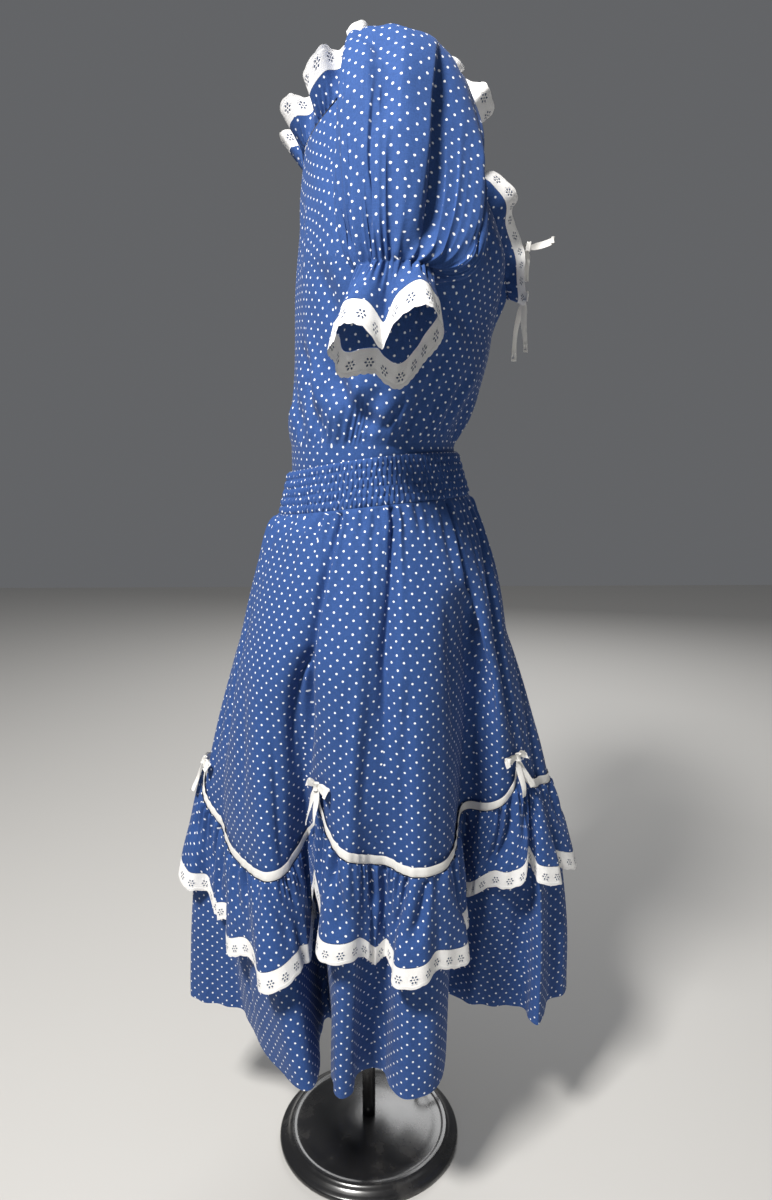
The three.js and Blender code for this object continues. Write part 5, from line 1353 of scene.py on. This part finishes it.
def skirt_bow_guide(u0, v0, sunk):
    u, v = np.array([u0]), np.array([v0])
    width = np.linalg.norm(skirt_at(u + 0.005, v) - skirt_at(u - 0.005, v)) / 0.01
    normal = skirt_normal(u, v, WIDE_REACH)[0]

    def guide(a, b, h):
        a, b, h = np.broadcast_arrays(a, b, h)
        down = np.clip((b - 2) / 45, 0, 1) ** 0.7
        cover = RIBBON_OFFSET + RIBBON_WALL - sunk + down * (RUFFLE_STAND + RUFFLE_SWING)
        return skirt_at(u0 + a / width, v0 + b / SKIRT_LENGTH) + normal * (cover + h)[..., None]

    return guide


def front_bow_guide(x, z):
    def guide(a, b, h):
        a, b, h = np.broadcast_arrays(a, b, h)
        return np.stack([x + h, a, z - b], axis=-1)

    return guide


for number, ((u0, v0, _), sunk) in enumerate(zip(SWAGS, BOW_SUNK), start=1):
    guide = skirt_bow_guide(u0, v0, sunk)
    tails = [(8, 36, 0), (-6, 42, 0)]
    tied_bow(f"skirt_bow_{number}", guide, tails, float(number))
for node, x, z, tails, seed in (
    ("front_bow_upper", 161.7, 1038, [(-5, -7, 27), (8, 30, 3)], 7.0),
    ("front_bow_lower", 160.5, 990, [(-3, 55, 3), (9, 63, -7)], 8.0),
):
    tied_bow(node, front_bow_guide(x, z), tails, seed, FRONT_BOW_TURN)

# ------------------------------------------------------------------ dress form and stand
def lathe_mesh(name, rings):
    """A closed skin through rings of points (rows from top to bottom), capped at both ends."""
    rows, columns = rings.shape[:2]
    piece = grid_mesh(name, rings, tube_uv(rings, rows // 2), closed=True)
    mesh = bmesh.new()
    mesh.from_mesh(piece.data)
    mesh.verts.ensure_lookup_table()
    for start, order in ((0, 1), ((rows - 1) * columns, -1)):
        loop = [mesh.verts[start + k] for k in range(columns)][::order]
        mesh.faces.new(loop).smooth = False
    mesh.to_mesh(piece.data)
    mesh.free()
    return piece


def spun(radius, height, columns):
    """Rings round the upright axis."""
    turn = TAU * np.arange(columns) / columns
    radius, height = radius[:, None], height[:, None]
    ring = np.broadcast_arrays(radius * np.sin(turn), -radius * np.cos(turn), height)
    return np.stack(ring, axis=-1)


FORM_TOP, FORM_SHOULDER, FORM_FOOT = 1168, 1120, 640
FORM_COLUMNS = 112
FORM_ROUND, FORM_ROUNDED = 6, 0.06       # height of its rounded top edge, and how far that draws in
form_z = np.concatenate([
    np.linspace(FORM_TOP, FORM_SHOULDER, 26)[:-1], np.linspace(FORM_SHOULDER, FORM_FOOT, 74),
])[:, None]
form_points = ring_at(FORM_RINGS, -90 + 360 * np.arange(FORM_COLUMNS) / FORM_COLUMNS, form_z)
top_edge = smooth((form_z - (FORM_TOP - FORM_ROUND)) / FORM_ROUND)[..., None] * FORM_ROUNDED
middle = form_points.mean(axis=1, keepdims=True)
form_points = form_points + (middle - form_points) * top_edge * (1, 1, 0)
dress(lathe_mesh("form_torso_shell", form_points), "form_torso", BLACK_SHELL)

BASE_PROFILE = [
    (0.01, 24.7), (8, 24.7), (16, 24.5), (24, 24.0), (34, 23.0), (46, 21.6), (60, 19.4), (76, 16.6),
    (85, 14.8), (89, 14.4), (92, 14.9), (95, 14.9), (97.5, 13.4), (100, 10.8), (104, 8.4),
    (108.6, 6.2), (109.6, 5.0), (110, 3.4), (109.8, 1.6), (108.6, 0.3), (107.6, 0.0), (90, 0.0),
    (0.01, 0.0),
]
BASE_COLUMNS, POLE_COLUMNS = 160, 48
profile = np.array(BASE_PROFILE)
length = run_length(profile)
fine_length = np.unique(np.concatenate([np.linspace(0, length[-1], 150), length]))
radius, height = (soft_line(length, values, fine_length) for values in profile.T)
base_points = spun(radius, height, BASE_COLUMNS)
dress(lathe_mesh("stand_base_plate", base_points), "stand_base", BLACK_PAINT)

POLE_TOP, POLE_FOOT, POLE_RADIUS = 639.7, 25.0, 8.0
POLE_EDGE, POLE_BEVEL = 639.2, 0.4
pole_z = np.concatenate([[POLE_TOP, 639.4], np.linspace(639.0, POLE_FOOT, 40)])
pole_r = np.where(pole_z > POLE_EDGE, POLE_RADIUS - POLE_BEVEL, POLE_RADIUS)
pole_points = spun(pole_r, pole_z, POLE_COLUMNS)
dress(lathe_mesh("stand_pole_tube", pole_points), "stand_pole", BLACK_PAINT)

WIRE, WIRE_STEPS, WIRE_COLUMNS = 2.5, 120, 18


def wire_mesh(name, points):
    """A round wire through points, closed at both ends."""
    last = len(points) - 1
    position = np.linspace(0, last, WIRE_STEPS)
    first, end = 2 * points[0] - points[1], 2 * points[-1] - points[-2]
    padded = np.concatenate([[first], points, [end]])
    index = np.clip(np.floor(position).astype(int), 0, last - 1)
    a, b, c, d = (padded[index + k] for k in range(4))
    line = hermite((position - index)[:, None], b, c, (c - a) / 2, (d - b) / 2)
    ahead = unit(np.gradient(line, axis=0))
    side = unit(np.cross(ahead[0], (0.3, 0.9, 0.1)))
    around = (TAU * np.arange(WIRE_COLUMNS) / WIRE_COLUMNS)[:, None]
    rings = []
    for centre, way in zip(line, ahead):
        side = unit(side - way * (side @ way))
        rings.append(centre + WIRE * (np.cos(around) * side + np.sin(around) * np.cross(way, side)))
    return lathe_mesh(name, np.array(rings)[::-1])


HOOK_FOOT = (0, 0, 1168.3)
HOOK = np.array([
    (0, 0, 0), (0, 0, 16), (-12, 0, 30), (-14, 0, 48), (-2, 0, 57), (10, 0, 52), (15, 0, 40),
], float) + HOOK_FOOT
LOOP_MIDDLE, LOOP_RADIUS = (80, 55, 28.9), 17
LOOP_WAY = (0.8, 0.2)          # of the stand's loop in plan
dress(wire_mesh("form_hook_wire", HOOK), "form_hook", BLACK_PAINT)
angle = np.radians(np.linspace(-50, 230, 9))
loop = np.stack([np.cos(angle) * LOOP_WAY[0], np.cos(angle) * LOOP_WAY[1], np.sin(angle)], axis=-1)
loop = LOOP_MIDDLE + LOOP_RADIUS * loop
dress(wire_mesh("stand_loop_wire", loop), "stand_loop", BLACK_PAINT)

# ------------------------------------------------------------------ studio
FLOOR = 4.0
floor_material, _, _ = new_material("floor", 0.7, color=(0.56, 0.55, 0.53))
floor_points = [(-FLOOR, -FLOOR, 0), (FLOOR, -FLOOR, 0), (FLOOR, FLOOR, 0), (-FLOOR, FLOOR, 0)]
floor_mesh = bpy.data.meshes.new("floor")
floor_mesh.from_pydata(floor_points, [], [(0, 1, 2, 3)])
floor_mesh.materials.append(floor_material)
floor = bpy.data.objects.new("floor", floor_mesh)
bpy.context.scene.collection.objects.link(floor)


def area_light(name, place, aim, size, power, color=(1, 1, 1)):
    data = bpy.data.lights.new(name, "AREA")
    data.shape = "RECTANGLE"
    data.size, data.size_y = size
    data.energy = power
    data.color = color
    lamp = bpy.data.objects.new(name, data)
    lamp.location = place
    lamp.rotation_euler = (Vector(aim) - Vector(place)).to_track_quat("-Z", "Y").to_euler()
    bpy.context.scene.collection.objects.link(lamp)


area_light("key", (-0.76, -1.20, 2.38), (0, -0.05, 0.84), (0.42, 0.34), 88, (1.0, 0.98, 0.95))
area_light("fill", (2.2, -1.6, 1.3), (0, 0, 0.6), (1.6, 1.6), 4, (0.95, 0.97, 1.0))
area_light("back", (0.6, 2.4, 2.0), (0, 0, 0.8), (1.4, 1.4), 34)
world = bpy.data.worlds.new("studio")
world.use_nodes = True
background = world.node_tree.nodes["Background"]
background.inputs["Color"].default_value = (0.78, 0.80, 0.84, 1)
background.inputs["Strength"].default_value = 0.16
bpy.context.scene.world = world
bpy.context.scene.view_settings.view_transform = "Standard"
